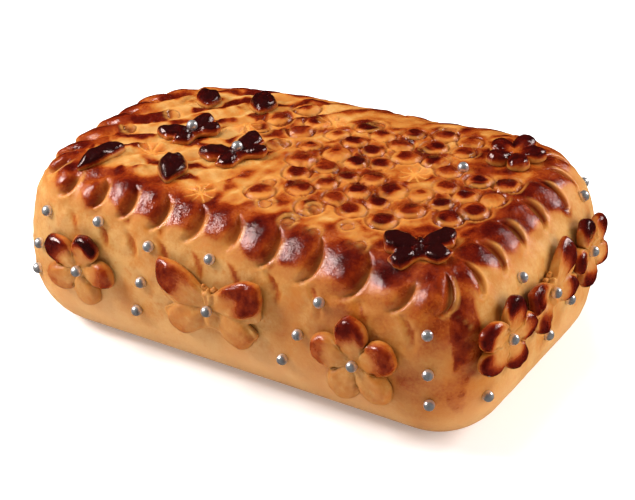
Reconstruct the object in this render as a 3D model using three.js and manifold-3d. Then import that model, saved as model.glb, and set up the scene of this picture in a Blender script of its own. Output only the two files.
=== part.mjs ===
// A baked marzipan loaf with cut-out marzipan flowers, butterflies and leaves and silver sugar pearls.
//
// Millimetres, +Z up, the loaf stands on z = 0 and the origin is the middle of its underside.
// Its long front faces -Y and its right end faces +X.
//
// The loaf starts as a plain block with rounded corners and edges. Every piece is first laid out on
// that block, and settle() then gives all of them the bulge, the taper and the sag of the real loaf.

import * as THREE from 'three';
import Module from 'manifold-3d';
import { mergeVertices } from 'three/addons/utils/BufferGeometryUtils.js';

// ---------------------------------------------------------------- driving dimensions

const halfLength = 95.3;
const halfWidth = 60.7;
const height = 70;
const topEdge = 19.4;                 // radius of the rounded top edge
const bottomEdge = 19.6;
const corner = { frontRight: 22, backRight: 43.7, backLeft: 47, frontLeft: 23.2 };

const sideBulge = 4.6;                // how far the sides belly out at half height
const footSpread = 1.06;              // and at the very bottom
const widening = 0.08;                // the right end is wider than the left by this share each way
const crown = 3;                      // rise of the middle of the top
const sagBackLeft = 9.85;             // drop of the top at two of its corners
const sagFrontRight = 2.1;

const pillowRise = 1.8;               // the border of pressed pillows round the top edge
const borderAtSides = 1;              // middle of the border down the skin, on the long sides
const borderAtEnds = -4;
const grooveDepth = 2.2;              // crescents pressed between the pillows with a round cutter
const grooveWidth = 3.4;
const grooveStep = 0.6;               // width of the steep outer lip of a crescent
const grooveMiddle = 0.26;            // direction of a crescent's middle, from along to down, radians
const grooveSpan = 1.3;               // and how far it reaches either way

const star = { x: 39.9, y: 1.3 };     // the pressed rings lie in circles round this point
const ringRadius = 5.2;
const ringDome = 1.3;
const ringGroove = 0.8;
const ringMargin = 1.2;               // between the widest ring and the rounded edge

const pearlRadius = 2.1;
const pearlProud = 0.9;               // how far a pearl's centre stands out of what it lies on
const pearlFacets = 1.08;             // a ball of so few facets is made a little larger
const clearance = 0.45;               // between the loaf and a piece laid on it

const ridgeHeight = 0.95;             // long wavy ridges on the left of the top
const ridgePitch = 9.5;
const ridgeTurn = 0.9;                // their direction in plan, radians
const fillerSpacing = 5.2;            // of the facets between the rings
const fillerGap = 2.2;                // between those facets and a ring or the rounded edge

const quarter = Math.PI / 2;

// ---------------------------------------------------------------- the plain block

const cornerList = [
  { sx: 1, sy: -1, r: corner.frontRight },
  { sx: 1, sy: 1, r: corner.backRight },
  { sx: -1, sy: 1, r: corner.backLeft },
  { sx: -1, sy: -1, r: corner.frontLeft },
];

// The plan outline runs anticlockwise from the left end of the straight front.
// Each run is a straight side followed by the corner at its end.
const runs = [];
{
  const [fr, br, bl, fl] = cornerList.map((c) => c.r);
  const straights = [
    { length: 2 * halfLength - fl - fr, x: -halfLength + fl, y: -halfWidth, turn: -quarter },
    { length: 2 * halfWidth - fr - br, x: halfLength, y: -halfWidth + fr, turn: 0 },
    { length: 2 * halfLength - br - bl, x: halfLength - br, y: halfWidth, turn: quarter },
    { length: 2 * halfWidth - bl - fl, x: -halfLength, y: halfWidth - bl, turn: 2 * quarter },
  ];
  let start = 0;
  straights.forEach((straight, i) => {
    const { sx, sy, r } = cornerList[i];
    const cx = sx * (halfLength - r);
    const cy = sy * (halfWidth - r);
    runs.push({ ...straight, start, r, cx, cy, arcStart: start + straight.length });
    start += straight.length + r * quarter;
  });
}
const lastRun = runs[runs.length - 1];
const perimeter = lastRun.arcStart + lastRun.r * quarter;

const wrap = (s) => ((s % perimeter) + perimeter) % perimeter;
const wrapNear = (d) => d - perimeter * Math.round(d / perimeter);
const clamp = (x, low, high) => Math.min(high, Math.max(low, x));
const smooth = (x, low, high) => {
  const t = clamp((x - low) / (high - low), 0, 1);
  return t * t * (3 - 2 * t);
};

// Signed distance to the plan outline, negative inside, and its outward direction.
function planDistance(x, y) {
  const sx = x < 0 ? -1 : 1;
  const sy = y < 0 ? -1 : 1;
  const r = cornerList.find((c) => c.sx === sx && c.sy === sy).r;
  const qx = Math.abs(x) - halfLength + r;
  const qy = Math.abs(y) - halfWidth + r;
  const mx = Math.max(qx, 0);
  const my = Math.max(qy, 0);
  const reach = Math.hypot(mx, my);
  const d = Math.min(Math.max(qx, qy), 0) + reach - r;
  if (reach > 1e-9) return { d, nx: (sx * mx) / reach, ny: (sy * my) / reach };
  return qx >= qy ? { d, nx: sx, ny: 0 } : { d, nx: 0, ny: sy };
}

// The point of the block's surface nearest to p, with its normal.
function nearestOnBlock(p) {
  const { d, nx, ny } = planDistance(p.x, p.y);
  const upper = p.z > height / 2;
  const r = upper ? topEdge : bottomEdge;
  const qd = d + r;
  const qz = upper ? p.z - height + r : r - p.z;
  const md = Math.max(qd, 0);
  const mz = Math.max(qz, 0);
  const reach = Math.hypot(md, mz);
  const distance = Math.min(Math.max(qd, qz), 0) + reach - r;
  let out = qd >= qz ? 1 : 0;
  let up = 1 - out;
  if (reach > 1e-9) {
    out = md / reach;
    up = mz / reach;
  }
  const normal = new THREE.Vector3(out * nx, out * ny, upper ? up : -up);
  return { point: p.clone().addScaledVector(normal, -distance), normal };
}

// Perimeter coordinate s of the outline point nearest to (x, y).
function perimeterAt(x, y) {
  const { d, nx, ny } = planDistance(x, y);
  const ox = x - nx * d;
  const oy = y - ny * d;
  const angle = Math.atan2(ny, nx);
  for (const run of runs) {
    const turned = Math.atan2(Math.sin(angle - run.turn), Math.cos(angle - run.turn));
    if (turned > 1e-9 && turned < quarter - 1e-9) return run.arcStart + turned * run.r;
    if (Math.abs(turned) <= 1e-9) return run.start + Math.hypot(ox - run.x, oy - run.y);
  }
  return 0;
}

function outlineAt(s) {
  const at = wrap(s);
  const run = runs.findLast((r) => at >= r.start);
  if (at < run.arcStart) {
    const along = at - run.start;
    const nx = Math.cos(run.turn);
    const ny = Math.sin(run.turn);
    return { x: run.x - ny * along, y: run.y + nx * along, nx, ny };
  }
  const angle = run.turn + (at - run.arcStart) / run.r;
  const nx = Math.cos(angle);
  const ny = Math.sin(angle);
  return { x: run.cx + run.r * nx, y: run.cy + run.r * ny, nx, ny };
}

// v runs down the skin from the middle of the rounded top edge. v < vFlat is the flat of the top.
const vFlat = (-topEdge * quarter) / 2;
const vSide = (topEdge * quarter) / 2;
const vFoot = vSide + height - topEdge - bottomEdge;
const vEnd = vFoot + bottomEdge * quarter;

function skinAt(s, v) {
  const { x, y, nx, ny } = outlineAt(s);
  let inset = 0;
  let z = height - topEdge - (v - vSide);
  let out = 1;
  let up = 0;
  if (v < vSide) {
    const angle = quarter / 2 - v / topEdge;
    out = Math.cos(angle);
    up = Math.sin(angle);
    inset = topEdge * (1 - out);
    z = height - topEdge * (1 - up);
  } else if (v > vFoot) {
    const angle = (v - vFoot) / bottomEdge;
    out = Math.cos(angle);
    up = -Math.sin(angle);
    inset = bottomEdge * (1 - out);
    z = bottomEdge * (1 + up);
  }
  const point = new THREE.Vector3(x - nx * inset, y - ny * inset, z);
  return { point, normal: new THREE.Vector3(out * nx, out * ny, up) };
}

// The v of a point on the upper half of the block.
function skinDepth(p) {
  const inset = -planDistance(p.x, p.y).d;
  if (inset > topEdge) return vFlat - (inset - topEdge);
  if (p.z < height - topEdge) return vSide + height - topEdge - p.z;
  return (quarter / 2 - Math.atan2(p.z - height + topEdge, topEdge - inset)) * topEdge;
}

// Gives a point laid out on the block its place on the real, bulged and sagging loaf.
function settle(p) {
  const { nx, ny } = planDistance(p.x, p.y);
  const level = clamp(p.z / height, 0, 1);
  const u = clamp(p.x / halfLength, -1, 1);
  const w = clamp(p.y / halfWidth, -1, 1);
  const belly = sideBulge * Math.sin(Math.PI * level) + footSpread * (1 - level);
  const sag = (sagBackLeft * (1 - u) * (1 + w)) / 4 + (sagFrontRight * (1 + u) * (1 - w)) / 4;
  const rise = crown * (1 - u * u) * (1 - w * w) - sag;
  const x = p.x + nx * belly;
  const y = (p.y + ny * belly) * (1 + (widening * x) / halfLength);
  return new THREE.Vector3(x, y, p.z + rise * level);
}

// ---------------------------------------------------------------- what lies on the loaf

// Side pieces stand at perimeter s and height z, top pieces at x, y.
// size is a flower's or a butterfly's width or a leaf's length; turn is in degrees.
const sidePieces = [
  { name: 'flower_front_left', kind: 'flower', s: 6.6, z: 34.5, size: 31, turn: -18 },
  { name: 'butterfly_front', kind: 'butterfly', s: 64.8, z: 36, size: 45, turn: 2 },
  { name: 'flower_front_right', kind: 'flower', s: 126.6, z: 33.5, size: 37, turn: 9 },
  { name: 'flower_end_near', kind: 'flower', s: 177.6, z: 44.8, size: 28.5, turn: -18, curl: 4.5 },
  { name: 'butterfly_end', kind: 'butterfly', s: 208.8, z: 45.3, size: 34, turn: 11, curl: 4 },
  { name: 'flower_end_far', kind: 'flower', s: 237.8, z: 46, size: 26.5, turn: 17, curl: 4 },
  { name: 'flower_back_left', kind: 'flower', s: 292, z: 34, size: 35, turn: -8 },
  { name: 'butterfly_back', kind: 'butterfly', s: 352, z: 36, size: 44, turn: -3 },
  { name: 'flower_back_right', kind: 'flower', s: 412, z: 34, size: 36, turn: 10 },
  { name: 'flower_left_far', kind: 'flower', s: 453, z: 41, size: 27, turn: -24, curl: 3.5 },
  { name: 'butterfly_left', kind: 'butterfly', s: 482.5, z: 41, size: 30, turn: -3, curl: 3.5 },
  { name: 'flower_left_near', kind: 'flower', s: 511.5, z: 42, size: 27, turn: 18, curl: 1.8 },
];
const topPieces = [
  { name: 'butterfly_top_left', kind: 'butterfly', x: -49.5, y: -8.3, size: 23.5, turn: 60 },
  { name: 'butterfly_top_mid', kind: 'butterfly', x: -24.9, y: -16.7, size: 25, turn: 58 },
  { name: 'butterfly_top_right', kind: 'butterfly', x: 66.5, y: -43, size: 25.5, turn: 29, bare: true },
  { name: 'flower_top', kind: 'flower', x: 66, y: 30.5, size: 22.5, turn: 0, bare: true },
  { name: 'leaf_corner', kind: 'leaf', x: -69.7, y: -43, size: 23, slim: 0.34, turn: 247 },
  { name: 'leaf_back_left', kind: 'leaf', x: -60.9, y: 24.5, size: 17, slim: 0.58, turn: 297 },
  { name: 'leaf_back', kind: 'leaf', x: -39.3, y: 29, size: 18, slim: 0.6, turn: 290 },
  { name: 'leaf_front', kind: 'leaf', x: -40.5, y: -38.5, size: 19, slim: 0.6, turn: 287 },
];

// Loose pearls: slanting columns of three down the sides, and single ones.
const columnHeights = [52, 36.5, 23.5];
const pearlColumns = [
  { s: 557, lean: -7 },
  { s: 36.6, lean: -5.5 },
  { s: 110, lean: -15 },
  { s: 152.4, lean: 1 },
  { s: 273, lean: 4 },
  { s: 320, lean: 5 },
  { s: 384, lean: -4 },
  { s: 434.7, lean: 0 },
];
const singlePearls = [
  { s: 13.8, z: 55 },
  { s: 63, z: 54.5 },
  { s: 195, z: 58 },
  { s: 226.2, z: 31.5 },
  { s: 210, z: 25.6 },
  { s: 171, z: 23.5 },
  { s: 245, z: 32 },
  { s: 250.5, z: 60.8 },
  { s: 352, z: 55 },
  { s: 512.5, z: 21.5 },
  { s: 478, z: 21.5 },
  { s: 497.5, z: 57.5 },
];
const topPearl = { x: 53.7, y: 13.3 };

// Where a piece lies on the block, with the directions of its own x and y.
function placeOf(piece) {
  let anchor;
  let side;
  if (piece.s === undefined) {
    anchor = nearestOnBlock(new THREE.Vector3(piece.x, piece.y, height));
    side = new THREE.Vector3(1, 0, 0);
  } else {
    const { x, y, nx, ny } = outlineAt(piece.s);
    anchor = nearestOnBlock(new THREE.Vector3(x, y, piece.z));
    side = new THREE.Vector3(-ny, nx, 0);
  }
  side.addScaledVector(anchor.normal, -side.dot(anchor.normal)).normalize();
  side.applyAxisAngle(anchor.normal, THREE.MathUtils.degToRad(piece.turn ?? 0));
  const up = new THREE.Vector3().crossVectors(anchor.normal, side);
  return { ...anchor, side, up };
}

const pieces = [...sidePieces, ...topPieces].map((piece) => ({ ...piece, ...placeOf(piece) }));
const singles = singlePearls.map((pearl) => placeOf(pearl));
for (const { s, lean } of pearlColumns) {
  for (const z of columnHeights) {
    const down = (columnHeights[0] - z) / (columnHeights[0] - columnHeights[2]);
    singles.push(placeOf({ s: s + lean * down, z }));
  }
}
singles.push(placeOf(topPearl));

// ---------------------------------------------------------------- relief of the skin

// Repeatable value from 0 to 1 for the unevenness of copy i.
const chance = (i, k) => {
  const x = Math.sin(i * 12.9898 + k * 78.233) * 43758.5453;
  return x - Math.floor(x);
};

// The pillows are narrow at the front's left end and widest near its right end.
const pillowPitch = (s) =>
  15.6 + 4 * Math.exp(-(((s - 118) / 34) ** 2)) - 3.4 * Math.exp(-((wrapNear(s - 8) / 26) ** 2));
const firstPillow = 7.2;

const borderAt = (s) => borderAtSides + (borderAtEnds - borderAtSides) * Math.abs(outlineAt(s).nx);

const pillows = [];
for (let s = firstPillow; s < perimeter + firstPillow - 0.6 * pillowPitch(s); s += pillowPitch(s + 6)) {
  pillows.push({ s, v: borderAt(s) });
}
pillows.forEach((pillow, i) => {
  const next = pillows[(i + 1) % pillows.length];
  pillow.pitch = wrap(next.s - pillow.s);
  pillow.radius = pillow.pitch / 2;
});

// How much is left of a crescent at the place where its lip is dv below the pillow's middle:
// 1 at its deepest, 0 beyond its two tips.
function crescentShare(pillow, dv) {
  const { radius } = pillow;
  if (Math.abs(dv) >= radius) return 0;
  const away = Math.abs(Math.asin(dv / radius) - grooveMiddle) / grooveSpan;
  return away < 1 ? Math.cos(away * quarter) : 0;
}

// Deepest along the lip and rising evenly away from it towards the pillow's middle.
function crescent(pillow, ds, dv) {
  const reach = Math.hypot(ds, dv);
  const share = ds > 0 ? crescentShare(pillow, (dv * pillow.radius) / Math.max(reach, 0.1)) : 0;
  const inward = pillow.radius - reach;
  const width = grooveWidth * share;
  if (share === 0 || inward < -grooveStep || inward > width) return 0;
  return grooveDepth * share * (inward < 0 ? 1 + inward / grooveStep : 1 - inward / width);
}

function borderRelief(s, v) {
  let nearest = pillows[0];
  let groove = 0;
  for (const pillow of pillows) {
    const ds = wrapNear(s - pillow.s);
    if (Math.abs(ds) < Math.abs(wrapNear(s - nearest.s))) nearest = pillow;
    if (Math.abs(ds) < pillow.pitch) groove = Math.max(groove, crescent(pillow, ds, v - pillow.v));
  }
  const across = wrapNear(s - nearest.s) / nearest.pitch;
  const dv = v - borderAt(s);
  const window = smooth(dv, -11, -4) * (1 - smooth(dv, 5, 11));
  return pillowRise * window * (0.65 + 0.35 * Math.cos(2 * Math.PI * across)) - groove;
}

// Rings round the star: full circles of them near it, parts of circles further off.
const ringCircles = [
  { radius: 14, count: 8, first: -6, low: -180, high: 180 },
  { radius: 24.5, count: 13, first: -10, low: -180, high: 180 },
  { radius: 34, count: 18, first: -2, low: -180, high: 180 },
  { radius: 44, count: 22, first: -4, low: 140, high: 250 },
  { radius: 57, count: 28, first: 2, low: 155, high: 235 },
  { radius: 71, count: 34, first: 5, low: 140, high: 215 },
];

const rings = [];
ringCircles.forEach(({ radius, count, first, low, high }, circle) => {
  for (let i = 0; i < count; i++) {
    const degrees = first + (360 * i) / count + 5 * (chance(i, circle) - 0.5);
    const inRange = THREE.MathUtils.euclideanModulo(degrees - low, 360) <= high - low;
    const reach = radius + 2.4 * (chance(i, circle + 11) - 0.5);
    const angle = THREE.MathUtils.degToRad(degrees);
    const x = star.x + reach * Math.cos(angle);
    const y = star.y + reach * Math.sin(angle);
    const place = new THREE.Vector3(x, y, height);
    const free = pieces.every((p) => p.point.distanceTo(place) > p.size / 2 + ringRadius);
    const inside = -planDistance(x, y).d > topEdge + ringRadius + ringMargin;
    if (!inRange || !free || !inside) continue;
    rings.push({ x, y, radius: ringRadius * (0.9 + 0.25 * chance(i, circle + 23)) });
  }
});

function ringRelief(x, y) {
  let relief = 0;
  for (const ring of rings) {
    const away = Math.hypot(x - ring.x, y - ring.y) / ring.radius;
    if (away > 1.6) continue;
    const dome = away < 1 ? ringDome * (1 - away * away) : 0;
    relief += dome - ringGroove * Math.exp(-(((away - 1) / 0.16) ** 2));
  }
  return relief;
}

// Wavy ridges, strongest at the left end of the top and gone before the rings begin.
function ridgeRelief(x, y) {
  const along = x * Math.cos(ridgeTurn) + y * Math.sin(ridgeTurn);
  const across = y * Math.cos(ridgeTurn) - x * Math.sin(ridgeTurn) + 2.2 * Math.sin(along / 9);
  return ridgeHeight * Math.sin((2 * Math.PI * across) / ridgePitch) * (1 - smooth(x, -30, 5));
}

// The soft unevenness of dough pressed on by hand.
const unevenness = (p) =>
  0.35 * Math.sin(p.x / 13 + 1.3 * Math.sin(p.y / 17)) * Math.cos(p.y / 11 + p.z / 15) +
  0.25 * Math.sin(p.x / 6.1 - p.y / 7.3 + p.z / 8.7);

// Nothing stands proud under a piece or a pearl.
function bareness(p) {
  let share = 1;
  for (const piece of pieces) {
    const away = p.distanceTo(piece.point) / (piece.size / 2);
    share = Math.min(share, smooth(away, 1.05, 1.35));
  }
  for (const pearl of singles) {
    share = Math.min(share, smooth(p.distanceTo(pearl.point), pearlRadius, pearlRadius + 3));
  }
  return share;
}

function relief(point, s, v) {
  const { x, y } = point;
  const above = v < vSide ? (ringRelief(x, y) + ridgeRelief(x, y)) * smooth(-v, 8, 14) : 0;
  const foot = 1 - smooth(v, vFoot, vFoot + 12);
  return (borderRelief(s, v) + above + unevenness(point)) * bareness(point) * foot;
}

// ---------------------------------------------------------------- the loaf

function meshFrom(positions, index) {
  const geometry = new THREE.BufferGeometry();
  const values = positions.flatMap((p) => p.toArray());
  geometry.setAttribute('position', new THREE.Float32BufferAttribute(values, 3));
  geometry.setIndex(index);
  return geometry;
}

// Four columns of corners to each pillow: its middle, the inner edge of its crescent, the crescent's
// lip and the foot of the step behind the lip. Beside the border they run straight down.
const columnPhases = [0, 0.26, 0.48, 0.56];
const borderRows = [-9.5, -6.3, -3.3, -0.4, 2.5, 5.4, 8.6];
const plainRows = [14, 21, 29.5, 38, vFoot, 54, 62, 69.5, vEnd];

function columnAt(pillow, phase, v) {
  const straight = columnPhases[phase] * pillow.pitch;
  if (phase === 0) return pillow.s;
  const { radius } = pillow;
  const dv = v - pillow.v;
  const bent = clamp(dv, -0.8 * radius, 0.8 * radius);
  const share = crescentShare(pillow, bent);
  const edge = [0, radius - Math.max(grooveWidth * share, 1.2), radius, radius + grooveStep][phase];
  const arc = Math.sqrt(Math.max(edge * edge - bent * bent, 0.5));
  const fade = smooth(Math.abs(dv), 0.8 * radius, 0.8 * radius + 5);
  return pillow.s + arc + (straight - arc) * fade;
}

// Delaunay triangles over points whose hull is strictly convex, grown point by point from the last.
function triangulate(points) {
  const far = 1e4;
  const all = [...points, { x: -far, y: -far }, { x: far, y: -far }, { x: 0, y: far }];
  const circled = (a, b, c) => {
    const [p, q, r] = [all[a], all[b], all[c]];
    const [qx, qy, rx, ry] = [q.x - p.x, q.y - p.y, r.x - p.x, r.y - p.y];
    const twice = 2 * (qx * ry - qy * rx);
    const [qq, rr] = [qx * qx + qy * qy, rx * rx + ry * ry];
    const x = (ry * qq - qy * rr) / twice;
    const y = (qx * rr - rx * qq) / twice;
    return { corners: [a, b, c], x: p.x + x, y: p.y + y, reach: x * x + y * y };
  };
  let triangles = [circled(points.length, points.length + 1, points.length + 2)];
  for (let i = points.length - 1; i >= 0; i--) {
    const p = points[i];
    const touched = (t) => (p.x - t.x) ** 2 + (p.y - t.y) ** 2 < t.reach;
    const edges = new Map();
    for (const { corners } of triangles.filter(touched)) {
      corners.forEach((a, k) => {
        const b = corners[(k + 1) % 3];
        if (!edges.delete(`${b} ${a}`)) edges.set(`${a} ${b}`, [a, b]);
      });
    }
    triangles = triangles.filter((t) => !touched(t));
    for (const [a, b] of edges.values()) triangles.push(circled(a, b, i));
  }
  return triangles.map((t) => t.corners).filter((corners) => corners.every((a) => a < points.length));
}

// Corners of the facets inside the flat of the top: a fan with a shoulder for each ring, and
// staggered rows between the rings.
function topCorners() {
  const corners = [];
  const around = (ring, share, count, turn) => {
    for (let i = 0; i < count; i++) {
      const angle = (2 * Math.PI * (i + turn)) / count;
      const reach = ring.radius * share;
      corners.push({ x: ring.x + reach * Math.cos(angle), y: ring.y + reach * Math.sin(angle) });
    }
  };
  for (const ring of rings) {
    corners.push({ x: ring.x, y: ring.y });
    around(ring, 0.6, 6, 0);
    around(ring, 1, 9, 0.3);
  }
  const rows = Math.ceil(halfWidth / fillerSpacing);
  const steps = Math.ceil(halfLength / fillerSpacing);
  for (let j = -rows; j <= rows; j++) {
    for (let i = -steps; i <= steps; i++) {
      const x = (i + (j % 2) / 2) * fillerSpacing * 1.25;
      const y = j * fillerSpacing * 0.92;
      const inRing = rings.some((ring) => Math.hypot(x - ring.x, y - ring.y) < ring.radius + fillerGap);
      if (-planDistance(x, y).d > topEdge + fillerGap && !inRing) corners.push({ x, y });
    }
  }
  return corners;
}

function loafGeometry() {
  const positions = [];
  const index = [];
  const quad = (a, b, c, d) => index.push(a, b, c, a, c, d);

  // The skin, from the edge of the flat of the top down to the edge of the underside.
  const count = pillows.length * columnPhases.length;
  const rows = [vFlat, ...borderRows, ...plainRows];
  const edge = [];
  rows.forEach((row, at) => {
    const followsBorder = at > 0 && at <= borderRows.length;
    for (let i = 0; i < count; i++) {
      const pillow = pillows[Math.floor(i / columnPhases.length)];
      const v = followsBorder ? row + pillow.v : row;
      const s = columnAt(pillow, i % columnPhases.length, v);
      const { point, normal } = skinAt(s, v);
      if (at === 0) edge.push(point.clone());
      positions.push(settle(point.addScaledVector(normal, relief(point, wrap(s), v))));
    }
  });
  for (let row = 0; row + 1 < rows.length; row++) {
    for (let i = 0; i < count; i++) {
      const next = (i + 1) % count;
      const here = row * count;
      const below = here + count;
      quad(below + i, below + next, here + next, here + i);
    }
  }

  // The flat of the top. Rounding its outline a little keeps the straight sides on the hull.
  const inner = topCorners();
  const rounding = 4e-6;
  const rounded = [...edge, ...inner].map(({ x, y }) => {
    const share = 1 - rounding * (x * x + y * y);
    return { x: x * share, y: y * share };
  });
  const innerStart = positions.length;
  for (const { x, y } of inner) {
    const p = new THREE.Vector3(x, y, height);
    positions.push(settle(p.setZ(height + relief(p, perimeterAt(x, y), skinDepth(p)))));
  }
  for (const corners of triangulate(rounded)) {
    index.push(...corners.map((a) => (a < count ? a : innerStart + a - count)));
  }

  // The flat underside.
  const centre = positions.length;
  const lowest = (rows.length - 1) * count;
  positions.push(new THREE.Vector3(0, 0, 0));
  for (let i = 0; i < count; i++) index.push(centre, lowest + ((i + 1) % count), lowest + i);
  return meshFrom(positions, index);
}

// ---------------------------------------------------------------- flowers, butterflies and leaves

// Each kind gives its outline as radii at angles for a width or length of 1, the height of its face
// as a function of the share t of the way out and the angle, and how many facets go round it.
const petalCount = 5;
const petalReach = 0.5;
const petalRadius = 0.185;
const flowerHeart = 0.235;

function flowerRadius(angle) {
  const step = (2 * Math.PI) / petalCount;
  const off = angle - quarter - step * Math.round((angle - quarter) / step);
  const centre = petalReach - petalRadius;
  const miss = centre * Math.sin(off);
  if (Math.abs(miss) >= petalRadius) return flowerHeart;
  return Math.max(flowerHeart, centre * Math.cos(off) + Math.sqrt(petalRadius ** 2 - miss ** 2));
}

function flowerOutline() {
  const step = (2 * Math.PI) / petalCount;
  const parts = [-0.5, -0.34, -0.14, 0.14, 0.34];
  const angles = [];
  for (let petal = 0; petal < petalCount; petal++) {
    for (const part of parts) angles.push(quarter + step * (petal + part));
  }
  return angles.map((angle) => ({ angle, radius: flowerRadius(angle) }));
}

// Half of a butterfly from its head round one upper and one lower wing to its tail.
const wingOutline = [
  [0, 0.2], [0.035, 0.145], [0.15, 0.25], [0.32, 0.33], [0.48, 0.335], [0.5, 0.19], [0.47, 0.01],
  [0.335, -0.04], [0.46, -0.12], [0.38, -0.26], [0.27, -0.325], [0.17, -0.27], [0.06, -0.2], [0, -0.185],
];

function butterflyOutline() {
  const right = wingOutline.map(([x, y]) => ({ x, y }));
  const left = right.slice(1, -1).map(({ x, y }) => ({ x: -x, y }));
  const points = [...left, ...right.reverse()];
  return points
    .map(({ x, y }) => ({ angle: Math.atan2(y, x), radius: Math.hypot(x, y) }))
    .sort((a, b) => a.angle - b.angle);
}

// A leaf's tip points along its own +x.
function leafOutline(slim) {
  const count = 14;
  const outline = [];
  for (let i = 0; i < count; i++) {
    const along = (2 * Math.PI * i) / count;
    const taper = 1 - 0.55 * Math.max(0, Math.cos(along));
    const x = 0.5 * Math.cos(along);
    const y = 0.5 * slim * Math.sin(along) * taper;
    outline.push({ angle: Math.atan2(y, x), radius: Math.hypot(x, y) });
  }
  return outline;
}

// heart is the height of the middle above or below the rest of the face, swell the rise of the face
// half way out, and curl the lift of the upper edge away from the loaf.
const kinds = {
  flower: { outline: flowerOutline, thickness: 3.4, heart: -0.3, swell: 1.1, curl: 1.8 },
  butterfly: { outline: butterflyOutline, thickness: 3.2, heart: -0.2, swell: 0.8, curl: 2 },
  leaf: { outline: leafOutline, thickness: 3, heart: 2.2, swell: 0, curl: 0 },
};
const smallShare = 0.85;              // thickness of the small pieces on top, as a share
const faceRings = [
  { reach: 0.58, share: 1 },
  { reach: 0.92, share: 0.85 },
  { reach: 1, share: 0.35 },
];

const thicknessOf = (piece) => kinds[piece.kind].thickness * (piece.s === undefined ? smallShare : 1);

function pieceGeometry(piece) {
  const kind = kinds[piece.kind];
  const outline = kind.outline(piece.slim);
  const thickness = thicknessOf(piece);
  const turn = THREE.MathUtils.degToRad(piece.turn);
  const positions = [];
  const place = (x, y, lift) => {
    const flat = piece.point.clone().addScaledVector(piece.side, x).addScaledVector(piece.up, y);
    const { point, normal } = nearestOnBlock(flat);
    positions.push(settle(point.addScaledVector(normal, clearance + lift)));
  };
  const curl = (angle, reach) =>
    (piece.curl ?? kind.curl) * reach * reach * (0.5 + 0.5 * Math.sin(angle + turn));
  const ring = (reach, liftAt) => {
    for (const { angle, radius } of outline) {
      const out = radius * reach * piece.size;
      place(out * Math.cos(angle), out * Math.sin(angle), liftAt(angle));
    }
  };
  place(0, 0, thickness + kind.heart);
  for (const { reach, share } of faceRings) {
    const swell = kind.swell * Math.sin(Math.PI * reach);
    ring(reach, (angle) => share * thickness + swell + curl(angle, reach));
  }
  ring(0.5, () => 0);
  place(0, 0, 0);

  const count = outline.length;
  const last = positions.length - 1;
  const index = [];
  for (let i = 0; i < count; i++) {
    const next = (i + 1) % count;
    index.push(0, 1 + i, 1 + next);
    for (let step = 0; step < faceRings.length; step++) {
      const inner = 1 + step * count;
      const outer = inner + count;
      index.push(inner + i, outer + i, outer + next, inner + i, outer + next, inner + next);
    }
    index.push(last, last - count + next, last - count + i);
  }
  return meshFrom(positions, index);
}

// ---------------------------------------------------------------- pearls

function pearlGeometry(place, lift) {
  const centre = settle(place.point.clone().addScaledVector(place.normal, lift));
  const ball = new THREE.IcosahedronGeometry(pearlRadius * pearlFacets, 0);
  return ball.translate(centre.x, centre.y, centre.z);
}

// ---------------------------------------------------------------- joining

const wasm = await Module();
wasm.setup();

function toSolid(geometry) {
  const bare = geometry.clone();
  bare.deleteAttribute('normal');
  bare.deleteAttribute('uv');
  const merged = mergeVertices(bare, 1e-5);
  return new wasm.Manifold(
    new wasm.Mesh({
      numProp: 3,
      vertProperties: Float32Array.from(merged.attributes.position.array),
      triVerts: Uint32Array.from(merged.index.array),
    }),
  );
}

function fuse(geometry, balls) {
  let solid = toSolid(geometry);
  for (const ball of balls) solid = solid.add(toSolid(ball));
  const { vertProperties, triVerts } = solid.getMesh();
  const fused = new THREE.BufferGeometry();
  fused.setAttribute('position', new THREE.BufferAttribute(vertProperties, 3));
  fused.setIndex(new THREE.BufferAttribute(triVerts, 1));
  return fused;
}

// ---------------------------------------------------------------- the whole

const marzipan = { color: 0xd9a35a, roughness: 0.45, metalness: 0 };
const bakedMarzipan = { color: 0x9a4a22, roughness: 0.35, metalness: 0 };
const burntMarzipan = { color: 0x3a1a16, roughness: 0.3, metalness: 0 };

const group = new THREE.Group();

function addMesh(name, geometry, finish) {
  geometry.computeVertexNormals();
  const mesh = new THREE.Mesh(geometry, new THREE.MeshStandardMaterial(finish));
  mesh.name = name;
  group.add(mesh);
}

addMesh('loaf', fuse(loafGeometry(), singles.map((place) => pearlGeometry(place, pearlProud))), marzipan);
for (const piece of pieces) {
  const hasPearl = piece.kind !== 'leaf' && !piece.bare;
  const top = clearance + thicknessOf(piece) + kinds[piece.kind].heart;
  const balls = hasPearl ? [pearlGeometry(piece, top + pearlProud)] : [];
  const finish = piece.s === undefined ? burntMarzipan : bakedMarzipan;
  addMesh(piece.name, fuse(pieceGeometry(piece), balls), finish);
}

export default group;
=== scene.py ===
"""Looks of the baked marzipan loaf: its skin with the marks pressed into it, the cut-outs and the pearls.

The shapes are worked out in millimetres in the frame of the solids, and made in metres.
Everything is laid out on a plain block with rounded corners and edges, and settle() then gives it the
bulge, the taper and the sag of the real loaf.
"""

import math

import bpy
import numpy as np
from mathutils import Matrix, Vector


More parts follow.
